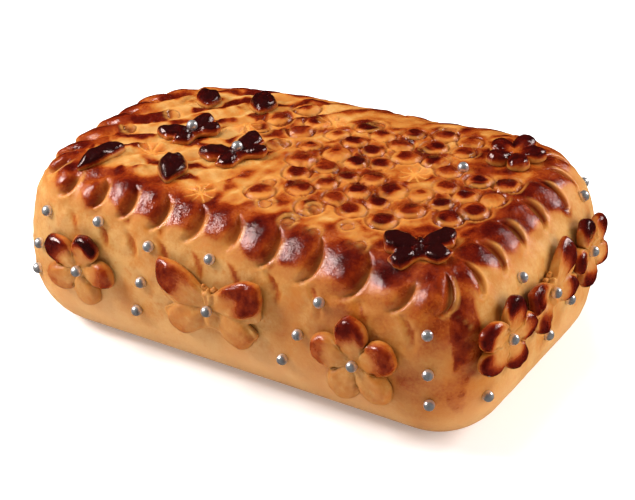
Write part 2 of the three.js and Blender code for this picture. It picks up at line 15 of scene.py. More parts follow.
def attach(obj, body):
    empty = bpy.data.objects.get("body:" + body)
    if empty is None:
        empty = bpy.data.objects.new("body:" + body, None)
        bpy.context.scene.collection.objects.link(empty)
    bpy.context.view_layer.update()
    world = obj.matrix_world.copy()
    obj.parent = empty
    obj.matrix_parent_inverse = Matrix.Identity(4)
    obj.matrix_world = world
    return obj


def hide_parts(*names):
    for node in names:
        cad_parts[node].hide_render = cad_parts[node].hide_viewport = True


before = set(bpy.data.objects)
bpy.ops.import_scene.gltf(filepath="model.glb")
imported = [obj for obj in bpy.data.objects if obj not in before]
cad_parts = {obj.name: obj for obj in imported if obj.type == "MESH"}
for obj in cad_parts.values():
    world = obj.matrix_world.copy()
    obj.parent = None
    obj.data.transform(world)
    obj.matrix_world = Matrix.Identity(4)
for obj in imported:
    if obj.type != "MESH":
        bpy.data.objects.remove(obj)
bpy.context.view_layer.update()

MM, TINY = 0.001, 1e-9
QUARTER = math.pi / 2

# ---- the loaf's dimensions, in millimetres

HALF_LENGTH, HALF_WIDTH, HEIGHT = 95.3, 60.7, 70.0
TOP_EDGE, BOTTOM_EDGE = 19.4, 19.6  # radii of the rounded edges
CORNERS = {(1, -1): 22.0, (1, 1): 43.7, (-1, 1): 47.0, (-1, -1): 23.2}  # radii in plan
SIDE_BULGE, FOOT_SPREAD, WIDENING, CROWN = 4.6, 1.06, 0.08, 3.0
SAG_BACK_LEFT, SAG_FRONT_RIGHT = 9.85, 2.1

PILLOW_RISE = 1.8  # the border of pressed pillows round the top edge
BORDER_AT_SIDES, BORDER_AT_ENDS = 1.0, -4.0
GROOVE_WIDTH, GROOVE_DEPTH, GROOVE_STEP = 4.0, 2.8, 0.6  # crescents between the pillows
GROOVE_MIDDLE, GROOVE_SPAN = 0.26, 1.3  # direction of a crescent's middle and its reach either way, radians
SECOND_SHAPE = (3.0, 1.3, 1.7, -0.45, 1.15)  # the same five for the faint crescents below

STAR = (39.9, 1.3)  # the rings lie in circles round this pressed star
RING_RADIUS, RING_DOME, RING_GROOVE = 5.2, 1.3, 1.15
RIDGE_HEIGHT, RIDGE_PITCH, RIDGE_TURN = 0.95, 9.5, 0.9
WAVES = 22  # in a field of random unevenness

PEARL_RADIUS, PEARL_PROUD = 2.1, 0.9
CLEARANCE = 0.45

# ---- what lies on the loaf

# Side pieces stand at perimeter s and height z, top pieces at x, y. size is the width, turn is in degrees.
# burn is how dark the oven left a piece, curl how far it curls off the loaf, slim a leaf's width for its
# length, pale_heart how much paler the middle is, and a bare piece has no pearl. With no burn, it is 1.
PIECES = [
    dict(name="flower_front_left", s=6.6, z=34.5, size=31, turn=-18),
    dict(name="butterfly_front", s=64.8, z=36, size=45, turn=2, burn=0.8),
    dict(name="flower_front_right", s=126.6, z=33.5, size=37, turn=9, burn=0.78),
    dict(name="flower_end_near", s=177.6, z=44.8, size=28.5, turn=-18, curl=4.5, burn=0.95),
    dict(name="butterfly_end", s=208.8, z=45.3, size=34, turn=11, curl=4, burn=0.9),
    dict(name="flower_end_far", s=237.8, z=46, size=26.5, turn=17, curl=4),
    dict(name="flower_back_left", s=292, z=34, size=35, turn=-8, burn=0.8),
    dict(name="butterfly_back", s=352, z=36, size=44, turn=-3, burn=0.7),
    dict(name="flower_back_right", s=412, z=34, size=36, turn=10, burn=0.76),
    dict(name="flower_left_far", s=453, z=41, size=27, turn=-24, curl=3.5, burn=0.85),
    dict(name="butterfly_left", s=482.5, z=41, size=30, turn=-3, curl=3.5, burn=0.8),
    dict(name="flower_left_near", s=511.5, z=42, size=27, turn=18, curl=1.8, burn=0.85),
    dict(name="butterfly_top_left", x=-49.5, y=-8.3, size=23.5, turn=60),
    dict(name="butterfly_top_mid", x=-24.9, y=-16.7, size=25, turn=58),
    dict(name="butterfly_top_right", x=66.5, y=-43, size=25.5, turn=29, bare=True, burn=1.05),
    dict(name="flower_top", x=66, y=30.5, size=22.5, turn=0, bare=True, pale_heart=0.45),
    dict(name="leaf_corner", x=-69.7, y=-43, size=23, slim=0.34, turn=247, burn=1.05),
    dict(name="leaf_back_left", x=-60.9, y=24.5, size=17, slim=0.58, turn=297),
    dict(name="leaf_back", x=-39.3, y=29, size=18, slim=0.6, turn=290),
    dict(name="leaf_front", x=-40.5, y=-38.5, size=19, slim=0.6, turn=287, burn=1.05),
]

# Loose pearls: slanting columns of three down the sides as (s, lean), and single ones as (s, z).
COLUMN_HEIGHTS = (52, 36.5, 23.5)
PEARL_COLUMNS = [(557, -7), (36.6, -5.5), (110, -15), (152.4, 1), (273, 4), (320, 5), (384, -4), (434.7, 0)]
SINGLE_PEARLS = [
    (13.8, 55), (63, 54.5), (195, 58), (226.2, 31.5), (210, 25.6), (171, 23.5),
    (245, 32), (250.5, 60.8), (352, 55), (512.5, 21.5), (478, 21.5), (497.5, 57.5),
]
TOP_PEARL = (53.7, 13.3)

# Small rings pressed with a tube, and stars pressed with a spoked tool, as (x, y).
TUBE_MARKS = [
    (2.3, -42.5), (20.7, -38.3), (36.5, -41.9), (26.9, -50), (45.5, -48.9), (-3.9, -28.7),
    (14.9, -47.8), (-14.7, 1.3), (-66, 6), (-74, -14), (8, 33), (34, 41),
]
TUBE_RADIUS, TUBE_DEPTH, STAR_REACH, STAR_SPOKES = 2.4, 0.75, 6.2, 8
STAR_MARKS = [STAR, (-23.5, -46.1), (-35, 8), (-56, -28), (-8, 27)]

# ---- the plain block


def smooth(x, low, high):
    """0 below low, 1 above high and smooth in between."""
    t = np.clip((x - low) / (high - low), 0, 1)
    return t * t * (3 - 2 * t)


def turned(x, y, angle):
    """x and y measured along and across a direction."""
    return x * math.cos(angle) + y * math.sin(angle), y * math.cos(angle) - x * math.sin(angle)


def corner_radius(x, y):
    left = np.where(y < 0, CORNERS[-1, -1], CORNERS[-1, 1])
    right = np.where(y < 0, CORNERS[1, -1], CORNERS[1, 1])
    return np.where(x < 0, left, right)


def rounded_corner(a, b, r):
    """Distance beyond a corner rounded by r, and the way out, from the places a and b beyond its centre."""
    beyond_a, beyond_b = np.maximum(a, 0), np.maximum(b, 0)
    reach = np.hypot(beyond_a, beyond_b)
    distance = np.minimum(np.maximum(a, b), 0) + reach - r
    rounded, safe = reach > TINY, np.maximum(reach, TINY)
    return distance, np.where(rounded, beyond_a / safe, a >= b), np.where(rounded, beyond_b / safe, a < b)


def plan_distance(x, y):
    """Signed distance to the plan outline, negative inside, and its outward direction."""
    r = corner_radius(x, y)
    d, nx, ny = rounded_corner(np.abs(x) - HALF_LENGTH + r, np.abs(y) - HALF_WIDTH + r, r)
    return d, nx * np.where(x < 0, -1, 1), ny * np.where(y < 0, -1, 1)


def nearest_on_block(p):
    """The points of the block's surface nearest to p, with their normals."""
    d, nx, ny = plan_distance(p[:, 0], p[:, 1])
    upper = p[:, 2] > HEIGHT / 2
    r = np.where(upper, TOP_EDGE, BOTTOM_EDGE)
    distance, out, up = rounded_corner(d + r, np.where(upper, p[:, 2] - HEIGHT, -p[:, 2]) + r, r)
    normal = np.stack([out * nx, out * ny, np.where(upper, up, -up)], 1)
    return p - normal * distance[:, None], normal


def make_runs():
    """The plan outline's straights, each with its corner, anticlockwise from the front's left end."""
    fr, br, bl, fl = CORNERS.values()
    straights = [
        (2 * HALF_LENGTH - fl - fr, -HALF_LENGTH + fl, -HALF_WIDTH, fr),
        (2 * HALF_WIDTH - fr - br, HALF_LENGTH, -HALF_WIDTH + fr, br),
        (2 * HALF_LENGTH - br - bl, HALF_LENGTH - br, HALF_WIDTH, bl),
        (2 * HALF_WIDTH - bl - fl, -HALF_LENGTH, HALF_WIDTH - bl, fl),
    ]
    runs, start = [], 0.0
    for n, (length, x, y, r) in enumerate(straights):
        runs.append(dict(start=start, x=x, y=y, turn=(n - 1) * QUARTER, r=r, arc=start + length))
        start += length + r * QUARTER
    return runs, start


RUNS, PERIMETER = make_runs()


def wrap_near(d):
    return d - PERIMETER * np.round(d / PERIMETER)


def outline_at(s):
    """The plan outline's points at perimeter places s, and its outward directions."""
    at = np.mod(np.asarray(s, float), PERIMETER)
    x, y, nx, ny = (np.zeros_like(at) for _ in range(4))
    for run in RUNS:
        along = np.minimum(at, run["arc"]) - run["start"]
        angle = run["turn"] + np.maximum(at - run["arc"], 0) / run["r"]
        out, aside, ax, ay = math.cos(run["turn"]), math.sin(run["turn"]), np.cos(angle), np.sin(angle)
        here = at >= run["start"]
        x = np.where(here, run["x"] - aside * along + run["r"] * (ax - out), x)
        y = np.where(here, run["y"] + out * along + run["r"] * (ay - aside), y)
        nx, ny = np.where(here, ax, nx), np.where(here, ay, ny)
    return x, y, nx, ny


def perimeter_at(x, y):
    """Perimeter coordinate s of the outline point nearest to (x, y)."""
    d, nx, ny = plan_distance(x, y)
    ox, oy = x - nx * d, y - ny * d
    angle = np.arctan2(ny, nx)
    s = np.zeros_like(x)
    for run in RUNS:
        bent = np.arctan2(np.sin(angle - run["turn"]), np.cos(angle - run["turn"]))
        on_arc = (bent > TINY) & (bent < QUARTER - TINY)
        s = np.where(on_arc, run["arc"] + bent * run["r"], s)
        s = np.where(np.abs(bent) <= TINY, run["start"] + np.hypot(ox - run["x"], oy - run["y"]), s)
    return s


# v runs down the skin from the middle of the rounded top edge. v < V_FLAT is the flat of the top.
V_FLAT = -TOP_EDGE * QUARTER / 2
V_SIDE = TOP_EDGE * QUARTER / 2
V_FOOT = V_SIDE + HEIGHT - TOP_EDGE - BOTTOM_EDGE
V_END = V_FOOT + BOTTOM_EDGE * QUARTER


def skin_at(s, v):
    x, y, nx, ny = outline_at(s)
    upper, lower = v < V_SIDE, v > V_FOOT
    top_angle = np.where(upper, QUARTER / 2 - v / TOP_EDGE, 0)
    low_angle = np.where(lower, (v - V_FOOT) / BOTTOM_EDGE, 0)
    out = np.cos(top_angle) * np.cos(low_angle)
    up = np.sin(top_angle) - np.sin(low_angle)
    inset = TOP_EDGE * (1 - np.cos(top_angle)) + BOTTOM_EDGE * (1 - np.cos(low_angle))
    z = np.where(upper, HEIGHT - TOP_EDGE * (1 - up), HEIGHT - TOP_EDGE - (v - V_SIDE))
    z = np.where(lower, BOTTOM_EDGE * (1 + up), z)
    point = np.stack([x - nx * inset, y - ny * inset, z], 1)
    return point, np.stack([out * nx, out * ny, up], 1)


def settle(p):
    """Gives points laid out on the block their places on the real, bulged and sagging loaf."""
    _, nx, ny = plan_distance(p[:, 0], p[:, 1])
    level = np.clip(p[:, 2] / HEIGHT, 0, 1)
    u = np.clip(p[:, 0] / HALF_LENGTH, -1, 1)
    w = np.clip(p[:, 1] / HALF_WIDTH, -1, 1)
    belly = SIDE_BULGE * np.sin(math.pi * level) + FOOT_SPREAD * (1 - level)
    sag = SAG_BACK_LEFT * (1 - u) * (1 + w) / 4 + SAG_FRONT_RIGHT * (1 + u) * (1 - w) / 4
    rise = CROWN * (1 - u * u) * (1 - w * w) - sag
    x = p[:, 0] + nx * belly
    y = (p[:, 1] + ny * belly) * (1 + WIDENING * x / HALF_LENGTH)
    return np.stack([x, y, p[:, 2] + rise * level], 1)


def place_of(s=None, z=None, x=None, y=None, turn=0.0, **_):
    """Where a piece lies on the block, with the directions of its own x and y."""
    if s is None:
        start, side = np.array([[x, y, HEIGHT]], float), np.array([1.0, 0, 0])
    else:
        ox, oy, nx, ny = (float(a) for a in outline_at(s))
        start, side = np.array([[ox, oy, z]], float), np.array([-ny, nx, 0.0])
    point, normal = nearest_on_block(start)
    normal = normal[0]
    side = side - normal * side.dot(normal)
    side /= np.linalg.norm(side)
    up = np.cross(normal, side)
    side, up = turned(side, up, math.radians(turn))
    return dict(point=point[0], normal=normal, side=side, up=up)


for piece in PIECES:
    piece.update(kind=piece["name"].split("_")[0], on_top="x" in piece, **place_of(**piece))
LOOSE = [place_of(s=s, z=z) for s, z in SINGLE_PEARLS]
for column_s, lean in PEARL_COLUMNS:
    for z in COLUMN_HEIGHTS:
        down = (COLUMN_HEIGHTS[0] - z) / (COLUMN_HEIGHTS[0] - COLUMN_HEIGHTS[2])
        LOOSE.append(place_of(s=column_s + lean * down, z=z))
LOOSE.append(place_of(x=TOP_PEARL[0], y=TOP_PEARL[1]))

# ---- relief and browning of the skin

PILLOW_PITCH, FIRST_PILLOW, LAST_PILLOW_SHARE, LOOK_AHEAD = 15.6, 7.2, 0.6, 6
WIDER, WIDER_AT, WIDER_REACH = 4, 118, 34  # the pillows are wider at the right of the front
NARROWER, NARROWER_AT, NARROWER_REACH = 3.4, 8, 26  # and narrower at its left
GROOVE_SHAPE = (GROOVE_WIDTH, GROOVE_DEPTH, GROOVE_STEP, GROOVE_MIDDLE, GROOVE_SPAN)
SECOND_SIZE, SECOND_ALONG, SECOND_DOWN = 0.95, 4.5, 17  # of the crescents below the border
LIP_RISE, SECOND_LIP_RISE, LIP_OUTSIDE, LIP_WIDTH = 0.55, 0.25, 1.3, 0.7
LOWER_AT_BACK, PALER_AT_BACK = 0.75, 0.4  # shares of the pillows' rise and browning that the back lacks

# Levels of browning: 0 is pale, 0.3 golden, 0.5 orange, 0.7 red-brown and 1 nearly black.
EDGE_BAKE, EDGE_BAKE_RIGHT, PILLOW_BAKE = 0.52, 0.1, 0.17
TOP_BAKE, TOP_BAKE_LEFT, CREST_BAKE, CREST_BAKE_LEFT = 0.35, -0.18, 0.66, 0.3
# The second of these darkens the front towards its right end: painted shade, not browning.
SIDE_BAKE, SIDE_PAINTED_SHADE_RIGHT, SIDE_BAKE_CORNER, SIDE_BAKE_HIGH = 0.07, 0.19, 0.12, 0.17
RING_BAKE, RING_BAKE_SPREAD, COLLAR_BAKE, STREAK_BAKE = 0.64, 0.3, 0.55, 0.62

CORNER_AT, STREAK_AT, STREAK_WIDTH = 161, 163, 5.8  # the dark streak down the near corner
FINE_HEIGHT, PIT_DEPTH = 0.1, 0.22
LEFT_PART = (-30, 5)  # x over which the ridges on the left of the top give way to the rings


def chance(i, k):
    """Repeatable value from 0 to 1 for the unevenness of copy i."""
    x = math.sin(i * 12.9898 + k * 78.233) * 43758.5453
    return x - math.floor(x)


def bell(x, width):
    """1 at 0, falling to 0 on both sides over about twice the width."""
    return np.exp(-((x / width) ** 2))


def window(x, start, full, fade, end):
    """0 below start and above end, 1 from full to fade."""
    return smooth(x, start, full) * (1 - smooth(x, fade, end))


def unit(rows):
    return rows / np.linalg.norm(rows, axis=1)[:, None]


def ripples(p, size, seed, stretch=(1, 1, 1)):
    """Smooth random field with a spread of 1 and lumps about size across."""
    rng = np.random.default_rng(seed)
    aim = unit(rng.normal(size=(WAVES, 3)))
    aim *= (2 * math.pi / size * rng.uniform(0.35, 0.8, WAVES))[:, None] / np.array(stretch)
    return np.sin(p @ aim.T + rng.uniform(0, 2 * math.pi, WAVES)).sum(1) / math.sqrt(WAVES / 2)


def pillow_pitch(s):
    wide, narrow = bell(s - WIDER_AT, WIDER_REACH), bell(wrap_near(s - NARROWER_AT), NARROWER_REACH)
    return PILLOW_PITCH + WIDER * wide - NARROWER * narrow


def border_at(s):
    _, _, nx, _ = outline_at(s)
    return BORDER_AT_SIDES + (BORDER_AT_ENDS - BORDER_AT_SIDES) * np.abs(nx)


def make_pillows():
    places, s = [], FIRST_PILLOW
    while s < PERIMETER + FIRST_PILLOW - LAST_PILLOW_SHARE * pillow_pitch(s):
        places.append(s)
        s += pillow_pitch(s + LOOK_AHEAD)
    pillows = []
    for n, s in enumerate(places):
        pitch = (places[(n + 1) % len(places)] - s) % PERIMETER
        _, _, nx, ny = (float(a) for a in outline_at(s))
        facing = dict(endways=abs(nx), back=max(ny, 0.0))
        pillows.append(dict(n=n, s=s, v=float(border_at(s)), pitch=pitch, radius=pitch / 2, **facing))
    return pillows


PILLOWS = make_pillows()


def crescent(radius, ds, dv, width, depth, step, middle, span):
    """Depth of a crescent, which rises from its outer lip towards its centre, and its raised lip."""
    away = np.clip(np.abs(np.arctan2(dv, ds) - middle) / span, 0, 1)
    share = np.cos(away * QUARTER)
    inward = radius - np.hypot(ds, dv)
    floor = 1 - np.clip(inward / np.maximum(width * share, 1e-3), 0, 1) ** 1.6
    wall = np.clip(1 + inward / step, 0, 1)
    return depth * share * np.where(inward < 0, wall, floor), share * bell(inward + LIP_OUTSIDE, LIP_WIDTH)


def border(s, v, wobble):
    """Height of the border, and where it is pale and browned."""
    height, pale, brown = (np.zeros_like(s) for _ in range(3))
    level = EDGE_BAKE + EDGE_BAKE_RIGHT * window(s, 40, 120, 230, 290) + 0.05 * wobble
    for pillow in PILLOWS:
        ds, dv = wrap_near(s - pillow["s"]), v - pillow["v"]
        near = np.abs(ds) < pillow["pitch"] + 8
        ds, dv, r, uneven = ds[near], dv[near], pillow["radius"], wobble[near]
        groove, lip = crescent(r, ds, dv, *GROOVE_SHAPE)
        lower = crescent(r * SECOND_SIZE, ds - SECOND_ALONG, dv - SECOND_DOWN, *SECOND_SHAPE)
        second, second_lip = (mark * (1 - pillow["endways"]) for mark in lower)
        mound = np.exp(-((np.abs(ds) / (0.66 * r)) ** 3)) * window(dv, -12, -4, 3, 10)
        rise = PILLOW_RISE * (1.15 - LOWER_AT_BACK * pillow["back"])
        height[near] += rise * mound - groove - second + LIP_RISE * lip + SECOND_LIP_RISE * second_lip

        pressed = 0.5 * smooth(groove, 1.3, 2.5) * smooth(dv, -6, 1)
        raised = smooth(lip, 0.15, 0.6) * smooth(dv, -7, 0)
        for paleness in (pressed, raised, 0.6 * smooth(second_lip, 0.3, 0.8)):
            pale[near] = np.maximum(pale[near], paleness)

        low = 4.4 + 2.6 * ds / r + 1.3 * uneven
        band = window(dv, -13, -8.5, low - 2.5, low + 3) * (1 - smooth(np.abs(ds), r, r + 2))
        spot = np.hypot((ds + 1.5) / (0.8 * r), (dv + 3.5) / 6.5) + 0.12 * uneven
        dark = PILLOW_BAKE + 0.16 * (chance(pillow["n"], 3) - 0.5)
        baked = band * level[near] + dark * (1 - smooth(spot, 0.35, 1.1))
        baked *= 1 - PALER_AT_BACK * pillow["back"]
        # the faint crescents' grooves are darkened by their depth: painted shade
        brown[near] = np.maximum(brown[near], np.maximum(baked, 0.45 * smooth(second, 0.1, 0.95)))
    return height, pale, brown


# Circles of rings round the star: radius, how many a full circle has, turn, and first and last direction.
RING_CIRCLES = [
    (14, 8, -6, -180, 180), (24.5, 13, -10, -180, 180), (34, 18, -2, -180, 180),
    (44, 22, -4, 140, 250), (57, 28, 2, 155, 235), (71, 34, 5, 140, 215),
]


def make_rings():
    rings = []
    for n, (radius, count, first, low, high) in enumerate(RING_CIRCLES):
        for i in range(count):
            degrees = first + 360 * i / count + 5 * (chance(i, n) - 0.5)
            reach = radius + 2.4 * (chance(i, n + 11) - 0.5)
            size = RING_RADIUS * (0.9 + 0.25 * chance(i, n + 23))
            x = STAR[0] + reach * math.cos(math.radians(degrees))
            y = STAR[1] + reach * math.sin(math.radians(degrees))
            place = np.array([x, y, HEIGHT])
            free = all(np.linalg.norm(p["point"] - place) > p["size"] / 2 + RING_RADIUS for p in PIECES)
            inset = -float(plan_distance(np.array(x), np.array(y))[0])
            if (degrees - low) % 360 <= high - low and free and inset >= TOP_EDGE + 1:
                rings.append(dict(n=len(rings), x=x, y=y, radius=size))
    return rings


RINGS = make_rings()
RING_LIMIT = 1.6  # how far out from a ring's middle its marks reach, in radii
RING_RIM, RING_RIM_AT = 0.35, 1.27


def ring_marks(p, wobble):
    """Height and browning of the domed rings, the way out from their middles, and their near sides, where
    the material paints light and shade on them.
    """
    height, brown, side = (np.zeros(len(p)) for _ in range(3))
    way = np.full(len(p), RING_LIMIT)
    for ring in RINGS:
        dx, dy = (p[:, 0] - ring["x"]) / ring["radius"], (p[:, 1] - ring["y"]) / ring["radius"]
        near = np.hypot(dx, dy) < 1.8
        dx, dy = dx[near], dy[near]
        away = np.hypot(dx, dy)
        lean = -0.6 * dx + 0.8 * dy  # the tool leaned, so one side is pressed deeper
        groove = RING_GROOVE * bell(away - 1, 0.12) * (0.85 - 0.35 * lean)
        dome = np.clip(1 - away * away, 0, 1) * RING_DOME
        height[near] += dome - groove + RING_RIM * bell(away - RING_RIM_AT, 0.14)

        far, across = -0.49 * dx + 0.87 * dy, 0.87 * dx + 0.49 * dy  # towards the back left and across that
        closest = away < way[near]
        way[near] = np.where(closest, away, way[near])
        # side is 1 on a ring's near side, towards the front right, and 0 towards the back left; it steers
        # the rings' painted highlight and painted shade
        side[near] = np.where(closest, 0.5 - 0.5 * far / np.maximum(away, 0.2), side[near])

        aside, behind = 0.3 * (chance(ring["n"], 9) - 0.5), far - 0.1
        spot = np.hypot(across - aside, behind * np.where(behind < 0, 1.05, 0.72)) + 0.2 * wobble[near]
        spot *= 0.8 + 0.4 * chance(ring["n"], 5)
        dark = RING_BAKE + RING_BAKE_SPREAD * chance(ring["n"], 7)
        brown[near] = np.maximum(brown[near], dark * (1 - smooth(spot, 0.25, 1.15)))
    return height, brown, way, side


def small_marks(p):
    """Height and paleness of the tube marks and the stars, the way out from a tube mark's middle, and where
    a point lies from its star, as x, y and nearness.
    """
    height, pale = np.zeros(len(p)), np.zeros(len(p))
    way = np.full(len(p), RING_LIMIT)
    for x, y in TUBE_MARKS:
        away = np.hypot(p[:, 0] - x, p[:, 1] - y)
        height += 0.35 * bell(away, 1.3) - TUBE_DEPTH * bell(away - TUBE_RADIUS, 0.55)
        height += 0.2 * bell(away - TUBE_RADIUS - 1.3, 0.7)
        pale = np.maximum(pale, 0.9 * bell(away - TUBE_RADIUS - 0.9, 0.7))
        pale = np.maximum(pale, 0.7 * bell(away, 1.4))
        way = np.minimum(way, away / TUBE_RADIUS)
    star = np.zeros((3, len(p)))
    for x, y in STAR_MARKS:
        dx, dy = p[:, 0] - x, p[:, 1] - y
        away = np.hypot(dx, dy)
        inside = 1 - smooth(away, STAR_REACH - 1.2, STAR_REACH)
        height -= (0.5 + 0.4 * np.cos(STAR_SPOKES * np.arctan2(dy, dx))) * inside * smooth(away, 0, 1.5)
        star = np.where(away < STAR_REACH + 2, [dx, dy, inside], star)
        pale = np.maximum(pale, 0.35 * inside)
    return height, pale, way, star


def along_ridges(p):
    """The points with x along the ridges on the left of the top and y across them."""
    x, y, z = p.T
    along, across = turned(x, y, RIDGE_TURN)
    return np.stack([along, across + 2.2 * np.sin(along / 9), z], 1)


def ridges(p):
    """Wavy ridges, strongest at the left end of the top and gone before the rings begin."""
    return np.sin(2 * math.pi * along_ridges(p)[:, 1] / RIDGE_PITCH) * (1 - smooth(p[:, 0], *LEFT_PART))


def unevenness(p):
    """The soft unevenness of dough pressed on by hand."""
    x, y, z = p.T
    broad = 0.35 * np.sin(x / 13 + 1.3 * np.sin(y / 17)) * np.cos(y / 11 + z / 15)
    return broad + 0.25 * np.sin(x / 6.1 - y / 7.3 + z / 8.7)


def bareness(p):
    """0 under a piece or a pearl, where nothing stands proud, and 1 away from them."""
    share = np.ones(len(p))
    for place in PIECES + LOOSE:
        away, half = np.linalg.norm(p - place["point"], axis=1), place.get("size", 0) / 2
        low, high = (0.95 * half, 1.25 * half) if half else (PEARL_RADIUS - 0.6, PEARL_RADIUS + 2)
        share = np.minimum(share, smooth(away, low, high))
    return share


def corner_streak(p, s, v, wobble, fine):
    """Browning of the streak that runs down the near corner."""
    drips = ripples(p, 5, 10, (1, 1, 5))
    away = np.abs(wrap_near(s - STREAK_AT) + 1.6 * drips + 0.9 * wobble)
    inside = 1 - smooth(away / (STREAK_WIDTH - 1.8 * smooth(v, 16, 50)), 0.65, 1.25)
    level = STREAK_BAKE - 0.24 * smooth(v, 14, 36) + 0.07 * drips + 0.05 * fine
    return inside * level * window(v, -3, 4, 44, 60)


def browning(p, s, v, marks, unevennesses):
    """How dark the oven left the skin, from the ridges' and the marks' own browning."""
    ridge, ring_brown, edge_brown = marks
    wobble, fine, broad = unevennesses
    dv = v - border_at(s)
    left = 1 - smooth(p[:, 0], *LEFT_PART)
    streaky = ripples(along_ridges(p) + 1.3 * np.stack([wobble, -wobble, wobble], 1), 4.6, 9, (2.4, 1, 1))
    base = TOP_BAKE + TOP_BAKE_LEFT * left + 0.12 * streaky + 0.05 * broad + 0.05 * smooth(p[:, 0], 20, 60)
    crests = smooth(0.4 * ridge + 0.95 * streaky + 0.35 * fine + 0.3 * wobble, -0.5, 1.5)
    crests *= CREST_BAKE + CREST_BAKE_LEFT * left
    patches = 0.12 * smooth(wobble, 0.2, 1.4) * (1 - left)
    top = np.maximum(base + 0.06 * fine + patches, np.maximum(ring_brown, 0.78 * crests))

    beside_corner = bell(wrap_near(s - CORNER_AT), 13) * (1 - smooth(v, 40, 56))
    # the front is darker towards its right end: painted shade
    side = SIDE_BAKE + SIDE_PAINTED_SHADE_RIGHT * window(s, 60, 140, 160, 172) + SIDE_BAKE_CORNER * beside_corner
    side += 0.05 * wobble + 0.04 * broad + SIDE_BAKE_HIGH * (1 - smooth(dv + 2 * wobble, 4, 12))

    inner = smooth(-dv, 7, 10)
    collar = (COLLAR_BAKE + 0.09 * streaky) * smooth(dv + 2.6 * wobble, -15, -9) * (1 - smooth(dv, -4, 1))
    border_bake = np.maximum(collar, edge_brown * (0.96 + 0.05 * fine))
    bake = np.maximum(top * inner + side * (1 - inner), border_bake)
    return np.maximum(bake, corner_streak(p, s, v, wobble, fine))


def skin_of(p, s, v):
    """Height of the loaf's skin over the block, and its colour fields, at points of the block."""
    wobble, fine, broad = ripples(p, 9, 1), ripples(p, 3.2, 2), ripples(p, 26, 3)
    on_top, upper = smooth(-v, 8, 14), smooth(-v, 4, 9)
    edge_height, edge_pale, edge_brown = border(s, v, wobble)
    ring_height, ring_brown, ring_way, ring_painted_light_side = ring_marks(p, wobble + 0.5 * fine)
    mark_height, mark_pale, tube_way, star = small_marks(p)
    ridge = ridges(p)
    relief = edge_height + on_top * (ring_height + RIDGE_HEIGHT * ridge) + upper * mark_height
    pits = np.minimum(ripples(p, 2.6, 8) + 0.6, 0) * on_top * (1 - smooth(p[:, 0], -20, 20))
    foot = 1 - smooth(v, V_FOOT, V_FOOT + 12)
    height = foot * ((relief + unevenness(p)) * bareness(p) + FINE_HEIGHT * fine + PIT_DEPTH * pits)

    bake = browning(p, s, v, (ridge, ring_brown, edge_brown), (wobble, fine, broad))
    pale = np.maximum(edge_pale, mark_pale * upper) * (0.88 + 0.1 * fine)
    streaks = ripples(p, 10, 5, (1, 1, 4)) + 0.6 * ripples(p, 5, 6, (1, 1, 3))
    wash = 0.8 * smooth(streaks, 0.2, 1.9) * smooth(v - border_at(s), 2, 9) * (1 - 0.6 * smooth(v, 26, 50))
    # near: which side of a ring gets the painted highlight and painted shade; the tube marks get a little
    # of both
    near = np.where(tube_way < ring_way, 0.35, ring_painted_light_side)
    ring_way = np.where(on_top > 0.5, ring_way, RING_LIMIT)
    way = np.minimum(ring_way, np.where(upper > 0.5, tube_way, RING_LIMIT))
    fields = dict(bake=np.clip(bake, 0, 1.1), pale=np.clip(pale, 0, 1), wash=np.clip(wash, 0, 1))
    # low lightens the foot: its paler, less-baked dough, plus painted light bounced up from the floor
    fields |= dict(low=smooth(v + 4 * broad, 34, 60), ring=way / RING_LIMIT, near=near)
    return height, fields | dict(star_x=star[0], star_y=star[1], star=star[2] * upper)


# ---- meshes


def part(points, faces, fields=(), material=0):
    return dict(points=points, faces=faces, fields=dict(fields), material=material)


def make_object(name, parts, materials):
    """A smooth-shaded mesh object from parts with points in millimetres."""
    faces, face_materials, start = [], [], 0
    for each in parts:
        faces.extend([start + i for i in face] for face in each["faces"])
        face_materials.extend([each["material"]] * len(each["faces"]))
        start += len(each["points"])
    mesh = bpy.data.meshes.new(name)
    mesh.from_pydata((np.concatenate([each["points"] for each in parts]) * MM).tolist(), [], faces)
    for field in parts[0]["fields"]:
        values = [np.broadcast_to(each["fields"].get(field, 0), len(each["points"])) for each in parts]
        attribute = mesh.attributes.new(field, "FLOAT", "POINT")
        attribute.data.foreach_set("value", np.concatenate(values).astype(np.float32))
    mesh.polygons.foreach_set("use_smooth", [True] * len(faces))
    mesh.polygons.foreach_set("material_index", face_materials)
    for material in materials:
        mesh.materials.append(material)
    mesh.update()
    made = bpy.data.objects.new(name, mesh)
    bpy.context.scene.collection.objects.link(made)
    return made


def closed_faces(rings, around):
    """Faces of a closed form: a first point, rings laid anticlockwise round it, and a last point."""
    faces = []
    starts = [1 + k * around for k in range(rings)]
    last = 1 + rings * around
    for i in range(around):
        j = (i + 1) % around
        faces.append([0, starts[0] + i, starts[0] + j])
        faces.extend([a + i, b + i, b + j, a + j] for a, b in zip(starts, starts[1:]))
        faces.append([last, starts[-1] + j, starts[-1] + i])
    return faces


# Columns of the skin follow each pillow's crescent: its zones are the pillow, the crescent's floor, the
# steep wall behind its lip and the rest of the way to the next pillow, each with so many columns.
ZONE_COLUMNS = (5, 6, 2, 6)
ZONE_PHASES = (0, 0.26, 0.48, 0.53, 1)
BENT_SHARE, STRAIGHTENING = 0.8, 5  # share of a pillow's radius where they bend, and how soon they stop
ROW_SPANS = [(V_FLAT, 13, 0.8), (13, 29, 0.95), (29, V_FOOT, 1.7), (V_FOOT, V_END, 2.6)]  # from, to, step


